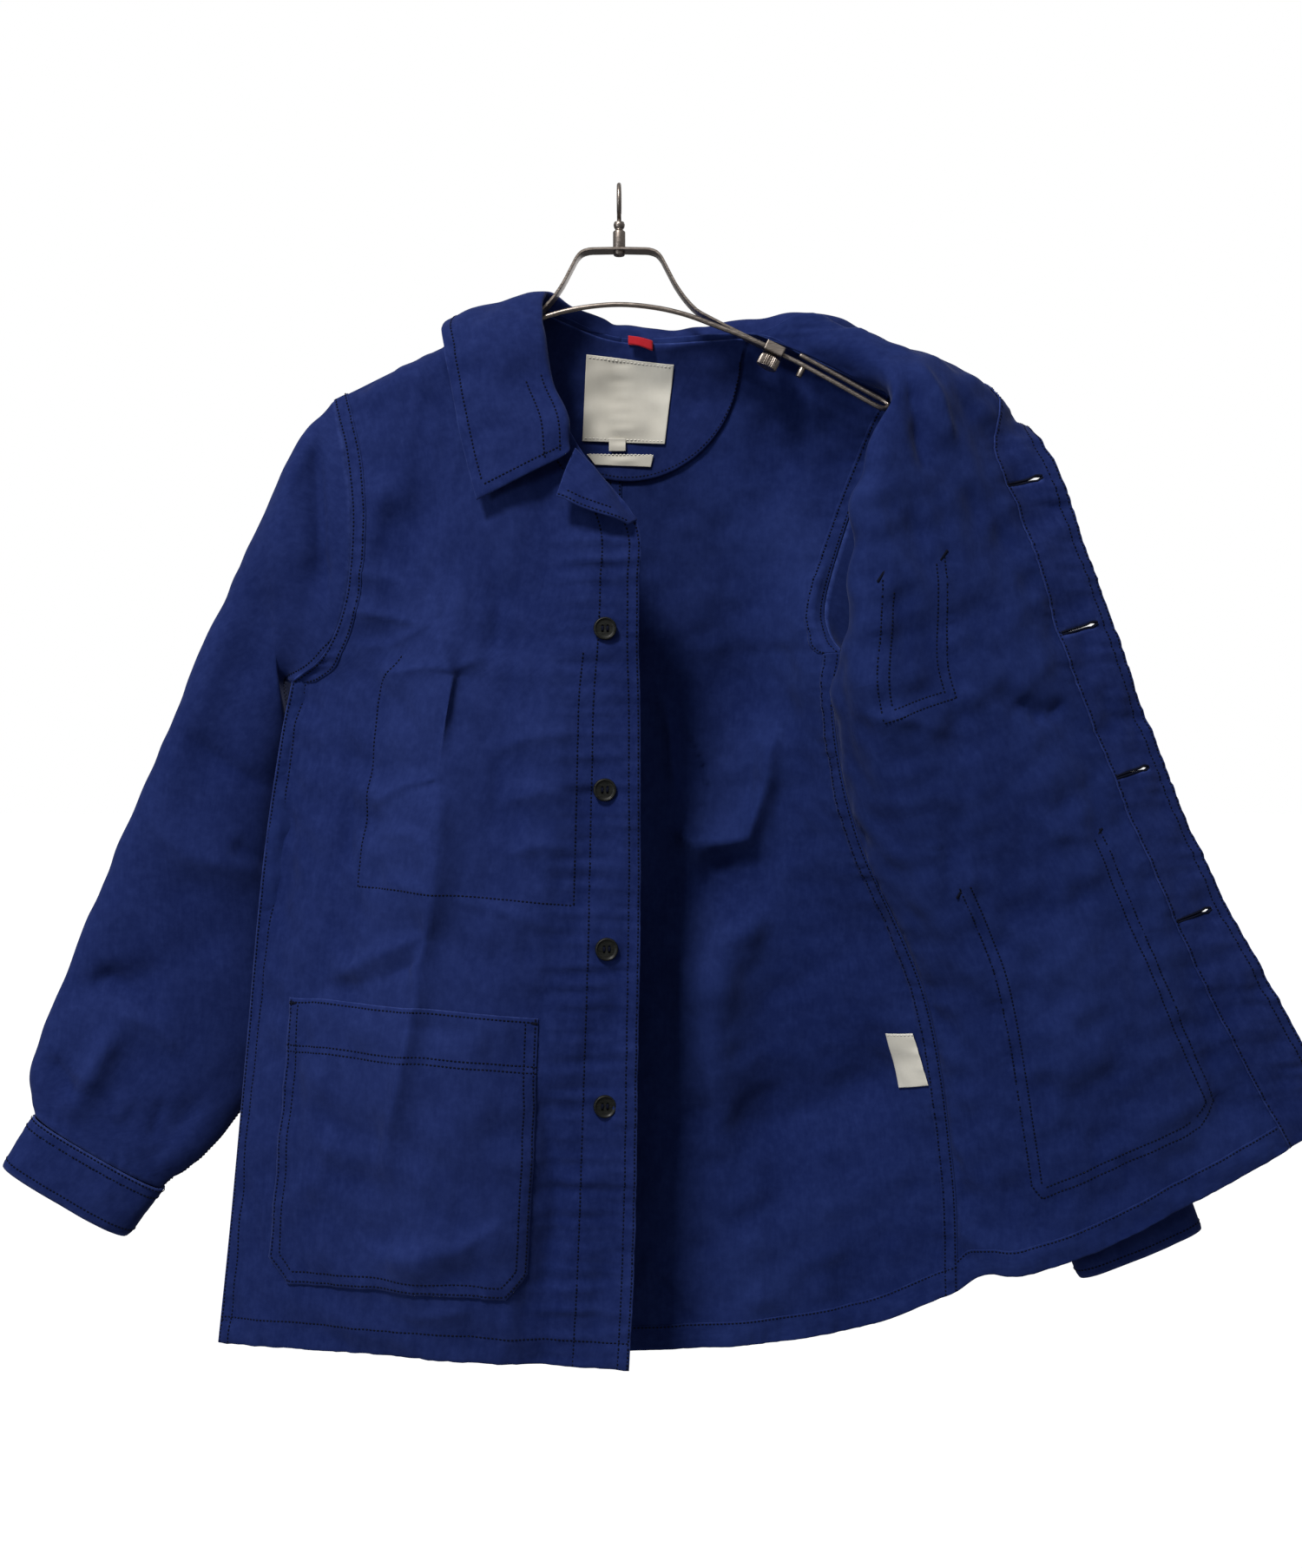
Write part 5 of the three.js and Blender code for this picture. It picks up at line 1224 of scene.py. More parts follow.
# %% Left front
LEFT_FRONT_DRAPES = {
    "peak": ([(202, -122), (209, -136), (217, -155), (228, -186)], 5.6, 9.6, 6.5),
    "peak hollow": ([(194, -131), (202, -161), (205, -204)], 5.6, 5.6, -5.8),
    "roll wave": ([(165, -204), (180, -252), (185, -289)], 9.6, 6.4, 3.5),
    "chest ray": ([(174, -240), (204, -283), (221, -325)], 6.4, 8, 2.9),
    "chest fold": ([(160, -365), (192, -368), (226, -379)], 4.8, 7.2, 3.8),
    "v west": ([(270, -353), (290, -370)], 4, 5.6, -3.5),
    "v east": ([(290, -370), (306, -354)], 4, 5.6, -3.5),
    "waist line": ([(237, -398), (242, -459), (241, -526)], 7.2, 7.2, 2.9),
    "waist valley": ([(219, -434), (227, -495), (245, -544)], 11.2, 9.6, -4.3),
    "hip swell": ([(295, -495), (310, -562), (326, -629)], 19.2, 17.6, 5.1),
    "facing pull": ([(274, -428), (301, -447), (333, -448)], 6.4, 6.4, 2.9),
    "facing pull low": ([(362, -538), (386, -568), (417, -580)], 6.4, 7.2, 2.9),
    "hem dip": ([(265, -653), (274, -702), (265, -738)], 9.6, 9.6, -3.8),
    "hem dip east": ([(414, -623), (429, -659)], 8, 8, -2.9),
}
LEFT_FACING = {"inner": 4, "top": 10}
LEFT_CHEST_POCKET = {"left": 2, "right": 3, "bottom": 3.75, "top": 6.5, "corner": 0}
LEFT_HIP_POCKET = {"left": 2.16, "right": 3.72, "bottom": 0.5, "top": 2.5, "corner": 0.14}
left_cloth = Cloth(
    left_front, drapes(LEFT_FRONT_DRAPES), crumple(31, 1.43, 110, 42, 12, (1.2, 1, 0.8)),
    crumple(36, 0.75, 42, 13), puckers(32, "u", 5, 0.7, 34, 10.5), puckers(33, "v", 0, 0.56, 14, 12),
    puckers(34, "u", 0, 0.56, 10, 9), puckers(35, "u", 4, 0.49, 9, 9),
    puckers(37, "u", 2, 0.59, 5, 6, (3.6, 6.6)),
    puckers(38, "u", 3, 0.5, 5, 6, (3.6, 6.4)), puckers(39, "u", 2.16, 0.63, 5, 6, (0.4, 2.7)),
    puckers(30, "u", 3.72, 0.56, 5, 6, (0.4, 2.7)), seams=[("u", 0), ("v", 12)],
)
cloth_names[id(left_cloth)] = "left_front"

# %% [markdown]
# A buttonhole is a slot with a round eye at its front end, cut through the front and its facing, with its
# edge closed by a dense thread. A boolean would leave long thin faces in a fine mesh. Here two grid lines
# run along the slot, the faces between them are left out, and the lines open into the keyhole.

# %% Buttonholes
BUTTONHOLES = {
    "top": ((268, -207), (292, -198.5)),
    "second": ((305, -310), (329, -299.5)),
    "third": ((342, -408), (366, -400)),
    "low": ((386, -508), (410, -497.5)),
}
SLOT_OPEN = 0.4
EYE_OPEN = 1.5
slots = []
for start, end in BUTTONHOLES.values():
    ends = np.array([start, end], float)
    u, v = over(left_front, ends[:, 0], ends[:, 1], 4.5, 6)
    slots.append({"from": u[0], "to": u[1], "v": v.mean()})


def slot_lines(lines, axis):
    """Grid lines with the slots' own lines in, and none too close to them."""
    lines = list(lines)
    for slot in slots:
        if axis == "u":
            own = [slot["from"], slot["to"]]
            clear = 0.02
        else:
            scale = Spot(left_front, np.array([slot["from"]]), np.array([slot["v"]])).tall[0]
            own = [slot["v"] - SLOT_OPEN / scale, slot["v"] + SLOT_OPEN / scale]
            clear = 1.6 / scale
        lines = [t for t in lines if all(abs(t - x) > clear for x in own)] + own
        slot[axis + " lines"] = own
    return np.unique(lines)


def slot_skip(u, v):
    """Which faces lie inside a slot."""
    inside = np.zeros(len(u), bool)
    for slot in slots:
        low, high = slot["v lines"]
        inside |= (u > slot["from"]) & (u < slot["to"]) & (v > low) & (v < high)
    return inside


def slot_bend(u, v):
    """Opens the two lines of each slot from a slit into an eye at its front end."""
    v = v.copy()
    for slot in slots:
        low, high = slot["v lines"]
        middle = (low + high) / 2
        t = (u - slot["from"]) / (slot["to"] - slot["from"])
        lens = np.sin(np.pi * np.clip(t, 0, 1)) ** 0.5
        eye = np.exp(-((t - 0.86) / 0.12) ** 2) * (EYE_OPEN / SLOT_OPEN - 0.5)
        open_to = (high - low) / 2 * np.where((t > 0.01) & (t < 0.99), lens * (0.75 + eye), 0.25)
        near = (np.abs(v - low) < TINY) | (np.abs(v - high) < TINY)
        within = near & (t > -0.02) & (t < 1.02)
        v = np.where(within, middle + np.sign(v - middle) * open_to, v)
    return u, v


us = slot_lines(grid_lines(left_front, "u", 0, 5, [0.5, 3, 6, 9], SPACING), "u")
vs = slot_lines(grid_lines(left_front, "v", 0, 12, [1, 3, 4.5], SPACING), "v")
flipped = wall("left_front", left_cloth, us, vs, [moleskin_inside, moleskin], node="front_left",
               skip=slot_skip, bend=slot_bend)
FLIPPED_ROWS = "left_front_stitches"
bands = [
    strip("left_hem", left_cloth, "v", 0, (0, 4), 19, 1, INSIDE_PAIR, FLIPPED_ROWS, rows=(17.4,)),
    strip("left_armhole_fell", left_cloth, "u", 0, (UNDERARM, 12), 10, 1, INSIDE_PAIR, FLIPPED_ROWS,
          rows=(1.6, 8.6)),
]
us = us[us > LEFT_FACING["inner"] - TINY]
vs = vs[vs < LEFT_FACING["top"] + TINY]
facing = wall("left_facing", left_cloth, us, vs, [moleskin, moleskin], lift=LAYER,
              thickness=LAYER_THIN, node="facing_left", skip=slot_skip, bend=slot_bend)
edge_row(FLIPPED_ROWS, left_cloth, "u", 4, (0, 10), 1.6, TOP_LIFT)
edge_row(FLIPPED_ROWS, left_cloth, "u", 4, (0, 10), 1.6, -CLOTH / 2, -1)
for inset in (1.6, 8):
    edge_row(FLIPPED_ROWS, left_cloth, "u", 5, (0, 10), -inset, TOP_LIFT)
    edge_row(FLIPPED_ROWS, left_cloth, "u", 5, (0, 10), -inset, -CLOTH / 2, -1)
for name, pocket, flat, cad, seed in (
    ("left_chest_pocket", LEFT_CHEST_POCKET, (0.048, 0.115), "chest_pocket_left", 71),
    ("left_hip_pocket", LEFT_HIP_POCKET, (0.18, 0.2), "hip_pocket_left", 74),
):
    own = pocket_piece(name, left_cloth, pocket, -1, [moleskin] * 2, cad, seed)
    outline_rows(FLIPPED_ROWS, left_cloth, pocket_path(pocket), POCKET_ROWS, CLOTH / 2)
    outline_rows(name + "_stitches", own, pocket_path(pocket), POCKET_ROWS, -TOP_LIFT, -1)
    for u in (pocket["left"] + 0.04, pocket["right"] - 0.04):
        bartack(FLIPPED_ROWS, left_cloth, u, pocket["top"] - 0.03, CLOTH / 2, 1, 9, 0.6)
for slot in slots:
    t = np.linspace(0, 1, 70)
    u = slot["from"] + (slot["to"] - slot["from"]) * t
    for end, line in zip((-1, 1), slot["v lines"]):
        edge_u, edge_v = slot_bend(u, 0 * u + line)
        for side, lift in ((1, TOP_LIFT), (-1, -CLOTH / 2)):
            places, spot, _ = left_cloth.lay(edge_u, edge_v, lift)
            outward = spot.up / spot.tall[:, None] * end
            put_stitches(FLIPPED_ROWS, places + outward * 0.7, outward, spot.normal * side, 0.9)

# %% [markdown]
# Sleeves are tubes, sewn in at the armholes. The wrist is gathered into a plain band, the cuff.
# Each sleeve has a double-stitched seam along its inner crease, and soft rolls where the arm would bend.

# %% Sleeves and cuffs
RIGHT_SLEEVE_DRAPES = {
    "cap fold": ([(-208, -171), (-206, -207), (-204, -255), (-201, -294)], 4, 7.2, -8.7),
    "elbow band": ([(-310, -371), (-277, -398), (-240, -419)], 7.2, 9.6, -4.3),
    "elbow band low": ([(-337, -428), (-301, -461), (-247, -476)], 11.2, 9.6, 3.8),
    "forearm band": ([(-274, -452), (-242, -473)], 6.4, 7.2, -3.5),
    "wrist arc": ([(-376, -554), (-355, -547), (-331, -560), (-313, -578)], 6.4, 6.4, -4.9),
    "wrist arc low": ([(-355, -569), (-328, -578), (-304, -602)], 5.6, 6.4, 3.5),
    "wrist ridge": ([(-350, -584), (-362, -605), (-373, -627)], 4.8, 5.6, 5.2),
    "wrist valley": ([(-397, -599), (-385, -615), (-376, -630)], 4.8, 4.8, -4.3),
    "gather": ([(-343, -625), (-350, -649)], 3.2, 4, 2.9),
    "gather east": ([(-319, -631), (-328, -664)], 4, 4, -2.9),
}
LEFT_SLEEVE_DRAPES = {
    "elbow band": ([(345, -350), (315, -398), (279, -410)], 11.2, 11.2, -4.3),
    "wrist arc": ([(375, -590), (339, -608), (315, -649)], 9.6, 8, -4.3),
}
SLEEVE_PARTS = {
    "right_sleeve": (right_sleeve, "sleeve_right", 41, 9, (0.34, 0.5), RIGHT_SLEEVE_DRAPES),
    "left_sleeve": (left_sleeve, "sleeve_left", 42, 9, (0.34, 0.5), LEFT_SLEEVE_DRAPES),
    "right_cuff": (right_cuff, "cuff_right", 43, 2, (0.21, 0.055), {}),
    "left_cuff": (left_cuff, "cuff_left", 44, 2, (0.21, 0.055), {}),
}
for name, (form, cad, seed, last, flat, folds) in SLEEVE_PARTS.items():
    cuff = last == 2
    thick = DOUBLE_CLOTH if cuff else CLOTH
    cloth = Cloth(form, drapes(folds, True), crumple(seed, 0.35 if cuff else 0.5, 90, 30, 14),
                  crumple(seed + 20, 0.3, 42, 14),
                  puckers(seed + 10, "v", 0 if cuff else last, 0.4 if cuff else 0.8, 26, 9),
                  seams=[("v", 0)] if cuff else [("v", 0), ("v", last)])
    us = grid_lines(form, "u", 0, 1, [0.5, last / 2, last - 0.5], SPACING * 1.2, [k / 8 for k in range(1, 8)])
    vs = grid_lines(form, "v", 0, last, [0.1, 0.35, 0.6, 0.85], SPACING * 1.2)
    tube_piece = wall(name, cloth, us, vs, [moleskin, moleskin_inside], closed=True,
                      thickness=thick, node=cad)
    rows = ((0, 1.6, 1), (0, 7.5, 1), (last, 6, -1)) if cuff else ()
    for place, inset, inward in rows:
        edge_row(name + "_stitches", cloth, "v", place, (0, 1), inward * inset, thick / 2)
    if not cuff:
        for inset in (-3.5, 3.5):
            edge_row(name + "_stitches", cloth, "u", 0.5, (0, last), inset, thick / 2)

# %% [markdown]
# The collar is one double leaf that rolls over its seam. Its edge was turned and topstitched, so the real
# collar is thicker than a panel, but here the leaf has a panel's thickness; its worn edge is the palest line
# of the jacket.

# %% Collar and lapel
COLLAR_INSET = 7
collar_cloth = Cloth(collar, crumple(51, 0.9, 60, 15), puckers(52, "u", 3, 0.31, 9, 8), seams=[("u", 0)])
us = grid_lines(collar, "u", 0, 3, [1, 4, 8, 11], SPACING * 0.8)
vs = grid_lines(collar, "v", 0, 12, [0.5, 2, 3], SPACING * 0.9)
collar_piece = wall("collar_leaf", collar_cloth, us, vs, [moleskin, moleskin], node="collar")
for side in (-1, 1):
    lift = side * CLOTH / 2
    edge_row("collar_stitches", collar_cloth, "u", 3, (0.32, 11.7), -COLLAR_INSET, lift, side)
    edge_row("collar_stitches", collar_cloth, "v", 0, (1.15, 2.78), COLLAR_INSET, lift, side)
    edge_row("collar_stitches", collar_cloth, "v", 12, (1.2, 2.8), -COLLAR_INSET, lift, side)
    for inset in (3, 9.5):
        edge_row("collar_stitches", collar_cloth, "u", 1.05, (0.15, 1.9), inset, lift, side)
lapel_cloth = Cloth(lapel, crumple(53, 0.45, 40, 12))
us = grid_lines(lapel, "u", 0, 2, [0.5, 2], SPACING * 0.6)
vs = grid_lines(lapel, "v", 0, 3, [0.5, 1.5], SPACING * 0.6)
lapel_piece = wall("lapel", lapel_cloth, us, vs, [moleskin, moleskin], node="lapel_right")
edge_row("collar_stitches", lapel_cloth, "u", 2, (0.15, 2.95), -1.6, -CLOTH / 2, -1)
edge_row("collar_stitches", lapel_cloth, "u", 2, (1.0, 2.7), -7, -CLOTH / 2, -1)

# %% [markdown]
# A half-moon of cloth covers the inside of the back neck. The label, a size tab, a strip and a red hanging
# loop are sewn there. The labels are left bare.

# %% Neck facing and labels
MOON = {"x": 5, "z": -112, "across": 80, "down": 84}
MOON_LIFT = CLOTH / 2 + 1.5 + CLOTH / 2
LABEL_LIFT = MOON_LIFT + CLOTH / 2 + 1.3
CARE_LIFT = CLOTH + 0.9
LABEL_THICK = PAPER * 0.7
LABEL_STEPS_PER_METRE = 550
LABELS = {
    "main_label": [(-24, -107), (39, -114), (32, -170), (-27, -168), LABEL_LIFT, "label_main",
                   (0.063, 0.058)],
    "size_tab": [(-8, -166), (4, -166), (4, -175), (-8, -175), LABEL_LIFT + 1.2, "size_tab", (0.012, 0.01)],
    "strip_label": [(-24, -177), (24, -177.5), (22, -186), (-18, -184.5), LABEL_LIFT, "label_strip",
                    (0.048, 0.01)],
    "side_label": [(189, -590), (208, -588), (219, -625), (197, -630), CARE_LIFT, "care_label",
                   (0.021, 0.04)],
}


def moon_form(s, t):
    """The half-moon, from the curve of its edge (t = 0) up to the neck seam (t = 1)."""
    top = back(3 + 2 * s, 0 * s + 11.7)
    x = MOON["x"] - MOON["across"] * np.cos(np.pi * s)
    z = MOON["z"] - MOON["down"] * np.sin(np.pi * s)
    u, v = over(back, x + (top[:, 0] - x) * t, z + (top[:, 2] - z) * t, 3 + 2.5 * s, 9.5)
    return u, v


def laid_wall(name, places, us, vs, cloth, finishes, lift, thickness, cad, own=None, worn=1.0):
    """A wall on another cloth's surface, where places(s, t) gives the table places."""
    used = Cloth(cloth.form, *cloth.wrinkles, *([own] if own else []), seams=cloth.seams)
    return wall(name, used, us, vs, finishes, lift=lift, thickness=thickness, bend=places,
                node=cad, worn=worn, edge=0.6)


moon_piece = laid_wall("neck_facing_moon", moon_form, np.linspace(0, 1, 61), np.linspace(0, 1, 33),
                       back_cloth, [moleskin, moleskin_inside], MOON_LIFT, CLOTH, "neck_facing")
s = np.linspace(0.01, 0.99, 120)
u, v = moon_form(s, 0 * s + 0.03)
stitch_row("neck_facing_stitches", back_cloth, np.stack([u, v], axis=1), MOON_LIFT + CLOTH / 2 - 0.04)

for name, (top_left, top_right, low_right, low_left, lift, cad, flat) in LABELS.items():
    square = np.array([low_left, low_right, top_left, top_right], float)
    start = (7.6, 1.8) if name == "side_label" else (4.0, 10.0)

    def label_places(s, t, square=square, start=start):
        low = square[0] + np.outer(s, square[1] - square[0])
        top = square[2] + np.outer(s, square[3] - square[2])
        place = low + (top - low) * t[:, None]
        return over(back, place[:, 0], place[:, 1], *start)

    def curl(spot, seed=len(name)):
        return 0.25 * np.sin(spot.p[:, 0] * 0.17 + seed) * np.cos(spot.p[:, 2] * 0.13 + seed)

    us, vs = (np.linspace(0, 1, max(7, round(size * LABEL_STEPS_PER_METRE))) for size in flat)
    piece = laid_wall(name, label_places, us, vs, back_cloth, [label_cloth, label_cloth], lift,
                      LABEL_THICK, cad, curl)
    if name == "size_tab":
        continue
    rows = [0.035, 0.965] if name == "main_label" else [0.97]
    for t in rows:
        s = np.linspace(0.02, 0.98, 50)
        u, v = label_places(s, 0 * s + t)
        stitch_row("label_sewing", back_cloth, np.stack([u, v], axis=1), lift + PAPER / 2)

LOOP = {
    "root": [(6, 26, -102), (6, 26, -96.5)],
    "top": [(14, 24.4, -103.5), (14, 24.4, -97.5)],
    "turn": [(22, 22.6, -107), (22, 22.6, -100.5)],
    "return": [(22, 19.8, -107), (22, 19.8, -100.5)],
    "bottom": [(14, 19, -104.5), (14, 19, -98.5)],
    "end": [(6, 20.5, -102.5), (6, 20.5, -97)],
}
loop_cloth = Cloth(panel(LOOP))
loop_piece = wall("red_hanging_loop", loop_cloth, np.linspace(0, 1, 7), np.linspace(0, 5, 51),
                  [red_tape, red_tape], thickness=PAPER, node="hanging_loop")
print("labels:", ", ".join(LABELS))

# %% [markdown]
# Horn buttons are turned: a rim, a dished middle and four holes. The body is a profile turned about its
# axis, and the holes are cut with a boolean, which is safe in such a small hard piece. Thread lies between
# the holes.

# %% Turned pieces and buttons
def rounded(profile, cut):
    """A profile with its corners softened by small curves."""
    points = [np.array(p, float) for p in profile]
    out = [points[0]]
    for before, here, after in zip(points, points[1:], points[2:]):
        back_way, on_way = before - here, after - here
        size = min(cut, np.linalg.norm(back_way) / 2.2, np.linalg.norm(on_way) / 2.2)
        a = here + back_way / np.linalg.norm(back_way) * size
        b = here + on_way / np.linalg.norm(on_way) * size
        out += [a, (a + 2 * here + b) / 4, b]
    return out + [points[-1]]


def frame_of(axis):
    """Two directions square to an axis."""
    axis = np.array(axis, float) / np.linalg.norm(axis)
    side = np.cross(axis, (0, 1, 0) if abs(axis[1]) < 0.9 else (1, 0, 0))
    side /= np.linalg.norm(side)
    return side, np.cross(axis, side), axis


def circle(turn, side, front_way):
    """Places one millimetre from a centre, at the angles turn."""
    return np.outer(np.cos(turn), side) + np.outer(np.sin(turn), front_way)


def ring_faces(rings, around):
    """Faces between rings of places, then a cap on the first ring and one on the last."""
    faces = []
    for j in range(rings - 1):
        for k in range(around):
            n = (k + 1) % around
            faces.append((j * around + k, j * around + n, (j + 1) * around + n, (j + 1) * around + k))
    faces.append(tuple(range(around))[::-1])
    faces.append(tuple((rings - 1) * around + k for k in range(around)))
    return faces


def turned_piece(name, profile, at, axis, finish, segments=48, teeth=None, cad=None):
    """A profile of (radius, height) turned about an axis; teeth is (count, depth, low, high)."""
    side, front_way, up = frame_of(axis)
    turn = np.linspace(0, 2 * math.pi, segments, endpoint=False)
    points = []
    for r, z in profile:
        radius = max(r, 0.01)
        if teeth and teeth[2] < z < teeth[3]:
            radius = (radius + teeth[1] * np.cos(turn * teeth[0]))[:, None]
        points.append(np.array(at) + z * up + radius * circle(turn, side, front_way))
    faces = ring_faces(len(profile), segments)
    piece = mesh_piece(name, np.concatenate(points), faces, [finish])
    if cad:
        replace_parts(piece, cad)
    return piece


def sharpen(piece, degrees=32):
    """Keeps hard edges hard and makes every face look outward."""
    work = bmesh.new()
    work.from_mesh(piece.data)
    bmesh.ops.recalc_face_normals(work, faces=work.faces)
    for edge in work.edges:
        if len(edge.link_faces) == 2 and edge.calc_face_angle(0) > math.radians(degrees):
            edge.smooth = False
    work.to_mesh(piece.data)
    work.free()


def cut(piece, cutter):
    """Takes the cutter's shape out of the piece."""
    boolean = piece.modifiers.new("holes", "BOOLEAN")
    boolean.object = cutter
    boolean.solver = "EXACT"
    shape = bpy.data.meshes.new_from_object(piece.evaluated_get(bpy.context.evaluated_depsgraph_get()))
    piece.modifiers.remove(boolean)
    piece.data = shape
    bpy.data.objects.remove(cutter)


BUTTONS = {"button_1": (-9, -308), "button_2": (-9, -416), "button_3": (-8, -523), "button_4": (-9, -629)}
BUTTON_PROFILE = [(0, 0), (7, 0), (8, 1.2), (7.5, 2.8), (6.8, 3.2), (5.8, 2.1), (0, 2.1)]
HOLE_RADIUS = 0.95
HOLE_OUT = 1.75
HOLE_SIDES = 14
for name, (x, z) in BUTTONS.items():
    u, v = over(right_front, x, z, 3.7, 5)
    spot = Spot(right_front, u, v)
    up = spot.normal[0]
    at = front_cloth.lay(u, v, CLOTH / 2 + 0.36)[0][0]
    button = turned_piece(name + "_body", rounded(BUTTON_PROFILE, 0.7), at, up, horn, cad=name)
    side, front_way, _ = frame_of(up)
    holes = [(a * side + b * front_way) * HOLE_OUT for a, b in ((1, 1), (-1, 1), (-1, -1), (1, -1))]
    turn = np.linspace(0, 2 * math.pi, HOLE_SIDES, endpoint=False)
    points, faces = [], []
    for hole in holes:
        first = len(points) * HOLE_SIDES
        for z_at in (0.6, 3.0):
            points.append(at + hole + up * z_at + HOLE_RADIUS * circle(turn, side, front_way))
        faces += [tuple(first + k for k in face) for face in ring_faces(2, HOLE_SIDES)]
    drill_mesh = bpy.data.meshes.new("drill")
    drill_mesh.from_pydata(np.concatenate(points) * MM, [], faces)
    cut(button, add_object("drill", drill_mesh))
    sharpen(button, 40)
    for row in (-1, 1):
        for strand in (-0.42, 0, 0.42):
            place = at + front_way * (row * HOLE_OUT + strand) + up * 2.25
            put_stitches("button_thread", place[None], side[None], up[None], 1.9)
print("buttons:", len(BUTTONS))

# %% [markdown]
# The hanger is bent from steel: a rod hook in a turned ferrule, a flat neck strap, a thin bow rod in front
# of it, and at each end a clamp with a knurled thumb screw that holds the arm's rod loop.
# Bevelled curves could make the rods. They are swept here ring by ring, so that their ends can be domed.

# %% Rods of the hanger
def smooth_run(stops, step):
    """Places every step millimetres or so along a smooth run through the stops."""
    stops = np.array(stops, float)
    t = np.linspace(0, len(stops) - 1, 20 * len(stops))
    points = weights(t, len(stops)) @ stops
    length = np.concatenate([[0], np.cumsum(np.linalg.norm(np.diff(points, axis=0), axis=1))])
    at = np.linspace(0, length[-1], max(3, round(length[-1] / step) + 1))
    return np.stack([np.interp(at, length, points[:, n]) for n in range(3)], axis=1)


def rod_piece(name, stops, radius, step=1.6, around=20):
    """A round rod through the stops with domed ends."""
    path = smooth_run(stops, step)
    along = np.gradient(path, axis=0)
    along /= np.linalg.norm(along, axis=1)[:, None]
    dome = [(math.sin(a), math.cos(a)) for a in (math.radians(12), math.radians(40), math.radians(68))]
    rings = [(path[0] - along[0] * radius * c, along[0], radius * s) for s, c in dome]
    rings += [(p, way, radius) for p, way in zip(path, along)]
    rings += [(path[-1] + along[-1] * radius * c, along[-1], radius * s) for s, c in dome[::-1]]
    side = frame_of(along[0])[0]
    turn = np.linspace(0, 2 * math.pi, around, endpoint=False)
    points = []
    for centre, way, r in rings:
        side = side - way * (side @ way)
        side /= np.linalg.norm(side)
        points.append(centre + r * circle(turn, side, np.cross(way, side)))
    return mesh_piece(name, np.concatenate(points), ring_faces(len(rings), around), [steel])


HOOK_BEND = 11.5
HOOK_ROD = 1.5
ROD = 1.7
hook_stops = [(0, 0, -25), (0, 0, -22.6), (0, -0.9, -21.2), (0, -3.4, -19.8)]
for degrees in (-48, -25, 0, 30, 60, 90, 120, 150, 180, 203):
    angle = math.radians(degrees)
    hook_stops.append((0, -HOOK_BEND * math.cos(angle), HOOK_BEND * (math.sin(angle) - 1) + HOOK_ROD))
hook = rod_piece("hook_rod", hook_stops, HOOK_ROD, 1.0)
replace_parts(hook, "hook")
BOW = [(0, -83), (24, -85), (46, -90), (69, -98.5), (85, -104.6), (99.8, -110.9)]
BOW_FRONT = -8.8
bow_stops = [(-x, BOW_FRONT, z) for x, z in BOW[:0:-1]] + [(x, BOW_FRONT, z) for x, z in BOW]
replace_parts(rod_piece("bow", bow_stops, ROD), "bow_rod")
ARM = [
    (113.6, -1.5, -116.3), (126, -2.2, -122.6), (150, -3, -136), (172, -3.2, -148.5), (182, -2.4, -153),
    (186.3, -0.6, -150.5), (182, 1, -146.6), (172, 1, -141.2), (150, 1, -129), (126, 1, -115.75),
]
for name, sign in (("left", 1), ("right", -1)):
    arm = rod_piece(name + "_arm", [(sign * x, y, z) for x, y, z in ARM], ROD)
    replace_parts(arm, "arm_" + name)
print("rods:", ROD * 2, "and", HOOK_ROD * 2, "mm thick")

# %% Ferrule, strap, clamps and screws
FERRULE = [
    (0, -42), (4.3, -42), (4.3, -30.6), (3.2, -29.8), (2.6, -28.9), (3.6, -27.6), (4, -25.8), (3.4, -23.8),
    (1.7, -23.8),
]
ferrule = turned_piece("hook_ferrule", rounded(FERRULE, 0.45), (0, 0, 0), (0, 0, 1), steel,
                       cad="ferrule")
sharpen(ferrule)
RIVET = [(1.5, -44), (1.5, -46.7), (1.8, -47.1), (3.4, -47.1), (4.1, -46.3), (4.1, -44)]
rivet = turned_piece("strap_rivet", rounded(RIVET, 0.25), (0, 0, 0), (0, 0, 1), steel, 36)
sharpen(rivet)
STRAP = [
    (0, -42.4), (21, -42.8), (26.5, -44.6), (30, -48.5), (39.5, -67), (46, -76.5), (54, -85.2), (70, -93.6),
    (100.6, -108.9),
]
STRAP_THICK = 2
STRAP_WIDE = 13
line = np.array(rounded([(-x, z) for x, z in STRAP[:0:-1]] + STRAP, 4))
way = np.gradient(line, axis=0)
way /= np.linalg.norm(way, axis=1)[:, None]
under = line + np.stack([way[:, 1], -way[:, 0]], axis=1) * STRAP_THICK
section = [(0.0, 0.08), (0.0, 0.92), (0.06, 0.98), (0.2, 1.0), (0.8, 1.0), (0.94, 0.98), (1.0, 0.92),
           (1.0, 0.08), (0.94, 0.02), (0.8, 0.0), (0.2, 0.0), (0.06, 0.02)]
points = []
for top_point, low_point in zip(line, under):
    for down, wide in section:
        place = top_point + (low_point - top_point) * down
        points.append((place[0], (wide - 0.5) * STRAP_WIDE, place[1]))
strap = mesh_piece("strap", points, ring_faces(len(line), len(section)), [steel])
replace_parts(strap, "neck_strap")
sharpen(strap, 28)

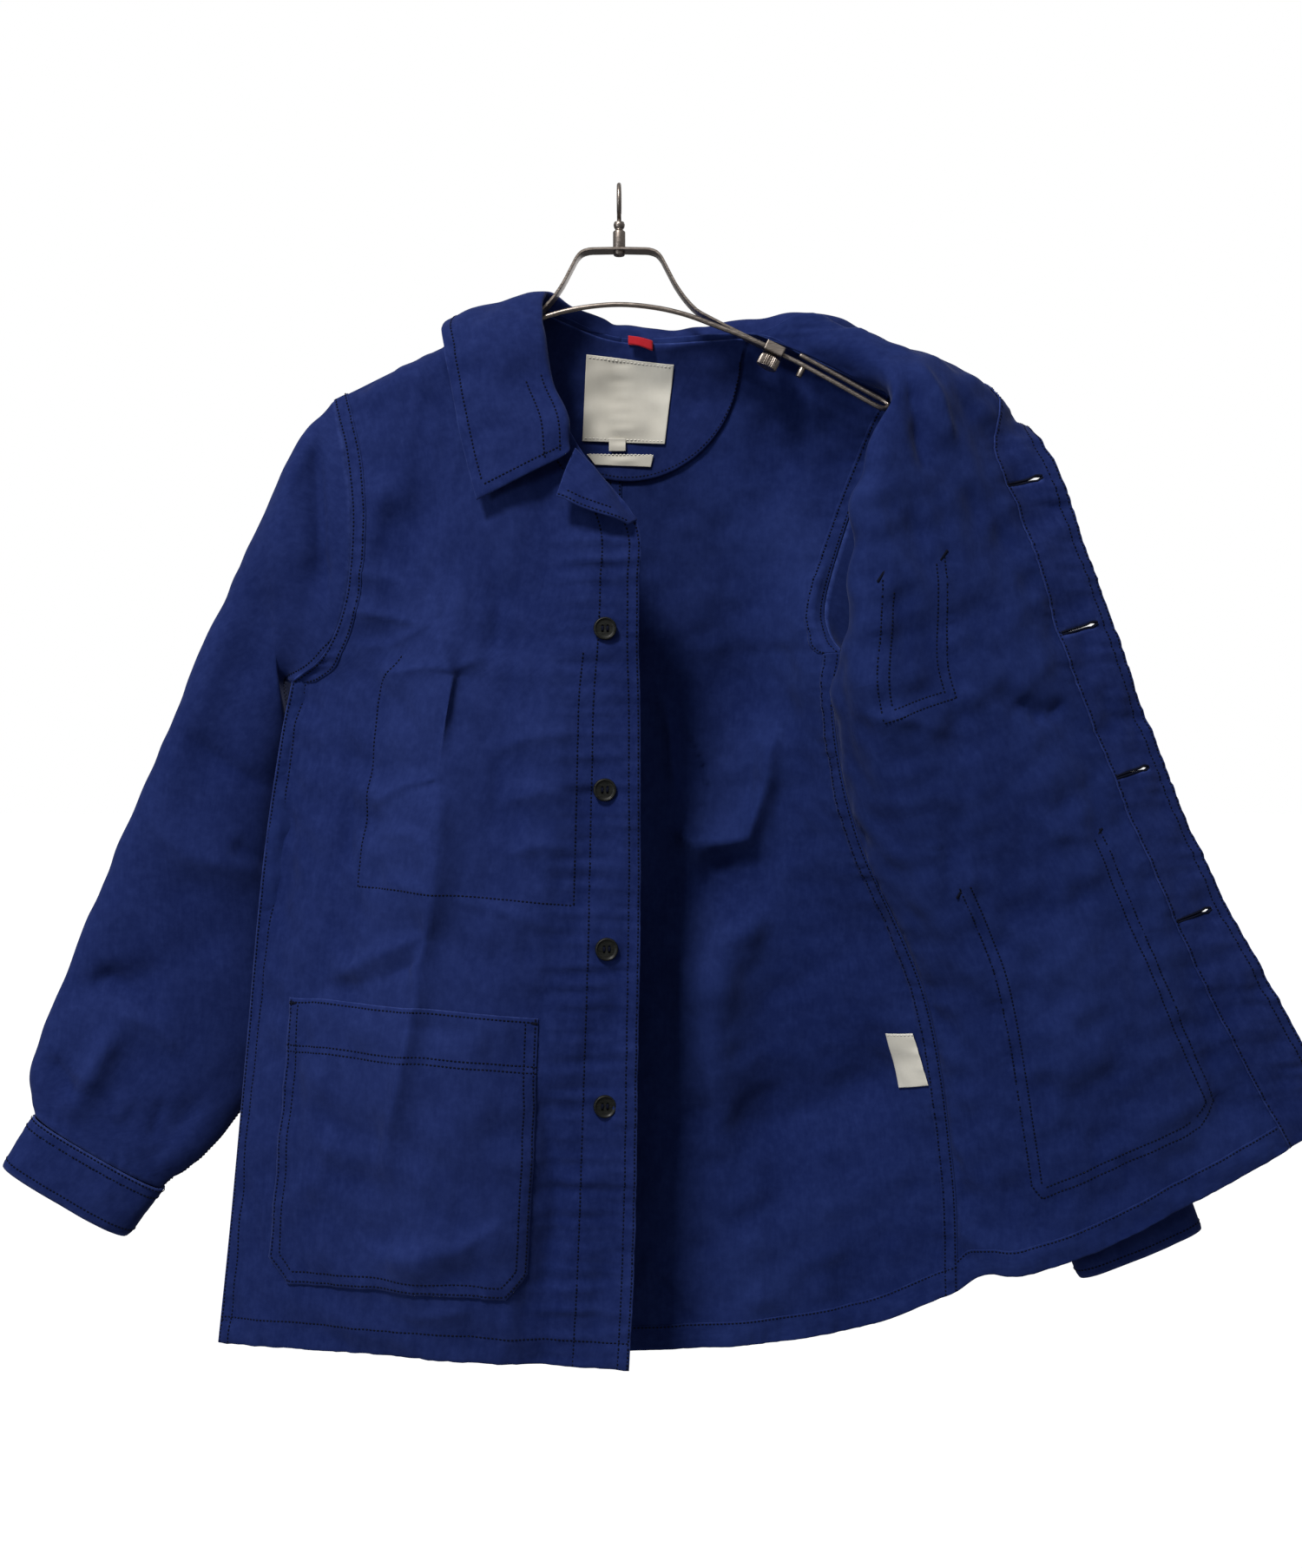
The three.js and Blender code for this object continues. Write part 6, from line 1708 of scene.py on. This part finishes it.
CLAMP_AT = (107, -1.5, -113)
CLAMP_SIZE = (14, 17.5, 7)
CLAMP_BEVEL = 0.9
SCREW = [(0, -13), (6.2, -13), (7, -12.2), (7, -5.6), (6.2, -4.8), (3, -4.6), (3, -3.9), (0, -3.9)]
SCREW_TEETH = (30, 0.32, -12.6, -5.2)
PIN = (125.1, -2.2, -128.2)
PIN_PROFILE = [(0, -3.4), (2.2, -3.4), (2.2, 3.4), (0, 3.4)]
ARM_SLOPE = 0.5
for name, sign in (("left", 1), ("right", -1)):
    tilt = math.atan(ARM_SLOPE)
    down_way = np.array([sign * math.sin(tilt), 0, math.cos(tilt)])
    long_way = np.array([math.cos(tilt), 0, -sign * math.sin(tilt)])
    centre = np.array([sign * CLAMP_AT[0], CLAMP_AT[1], CLAMP_AT[2]])
    clamp_body = mesh_piece(name + "_clamp", np.zeros((0, 3)), [], [steel])
    work = bmesh.new()
    bmesh.ops.create_cube(work, size=1)
    for corner in work.verts:
        x, y, z = corner.co
        sideways = np.array([0, y * CLAMP_SIZE[1], 0])
        place = centre + long_way * x * CLAMP_SIZE[0] + sideways + down_way * z * CLAMP_SIZE[2]
        corner.co = Vector(place) * MM
    bmesh.ops.bevel(work, geom=work.edges[:], offset=CLAMP_BEVEL * MM, segments=3, profile=0.5,
                    affect="EDGES")
    work.to_mesh(clamp_body.data)
    work.free()
    sharpen(clamp_body)
    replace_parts(clamp_body, "clamp_" + name)
    screw = turned_piece(name + "_thumb_screw", rounded(SCREW, 0.4), centre, down_way, steel, 150,
                         SCREW_TEETH, "thumb_screw_" + name)
    sharpen(screw, 24)
    pin_at = np.array([sign * PIN[0], PIN[1], PIN[2]])
    pin = turned_piece(name + "_pin", rounded(PIN_PROFILE, 0.5), pin_at, down_way, steel, 32,
                       cad="pin_" + name)
    sharpen(pin)
print("hanger pieces:", ", ".join(name for name in made if "clamp" in name or "screw" in name))

# %% [markdown]
# Every row of stitches that was laid along the way is now joined, one mesh for each part of the jacket.

# %% Stitches
TAPE_THREADS = {"label_sewing": (pale_thread, "label")}
total = 0
for group, parts in threads.items():
    points = np.concatenate(parts)
    each = len(STITCH_POINTS)
    faces = (STITCH_FACES[None] + each * np.arange(len(points) // each)[:, None, None]).reshape(-1, 3)
    finish, slot_name = TAPE_THREADS.get(group, (thread, "moleskin"))
    mesh_piece(group, points, faces.tolist(), [finish])
    total += len(faces)
print("stitches:", total // len(STITCH_FACES), "in", total, "triangles")
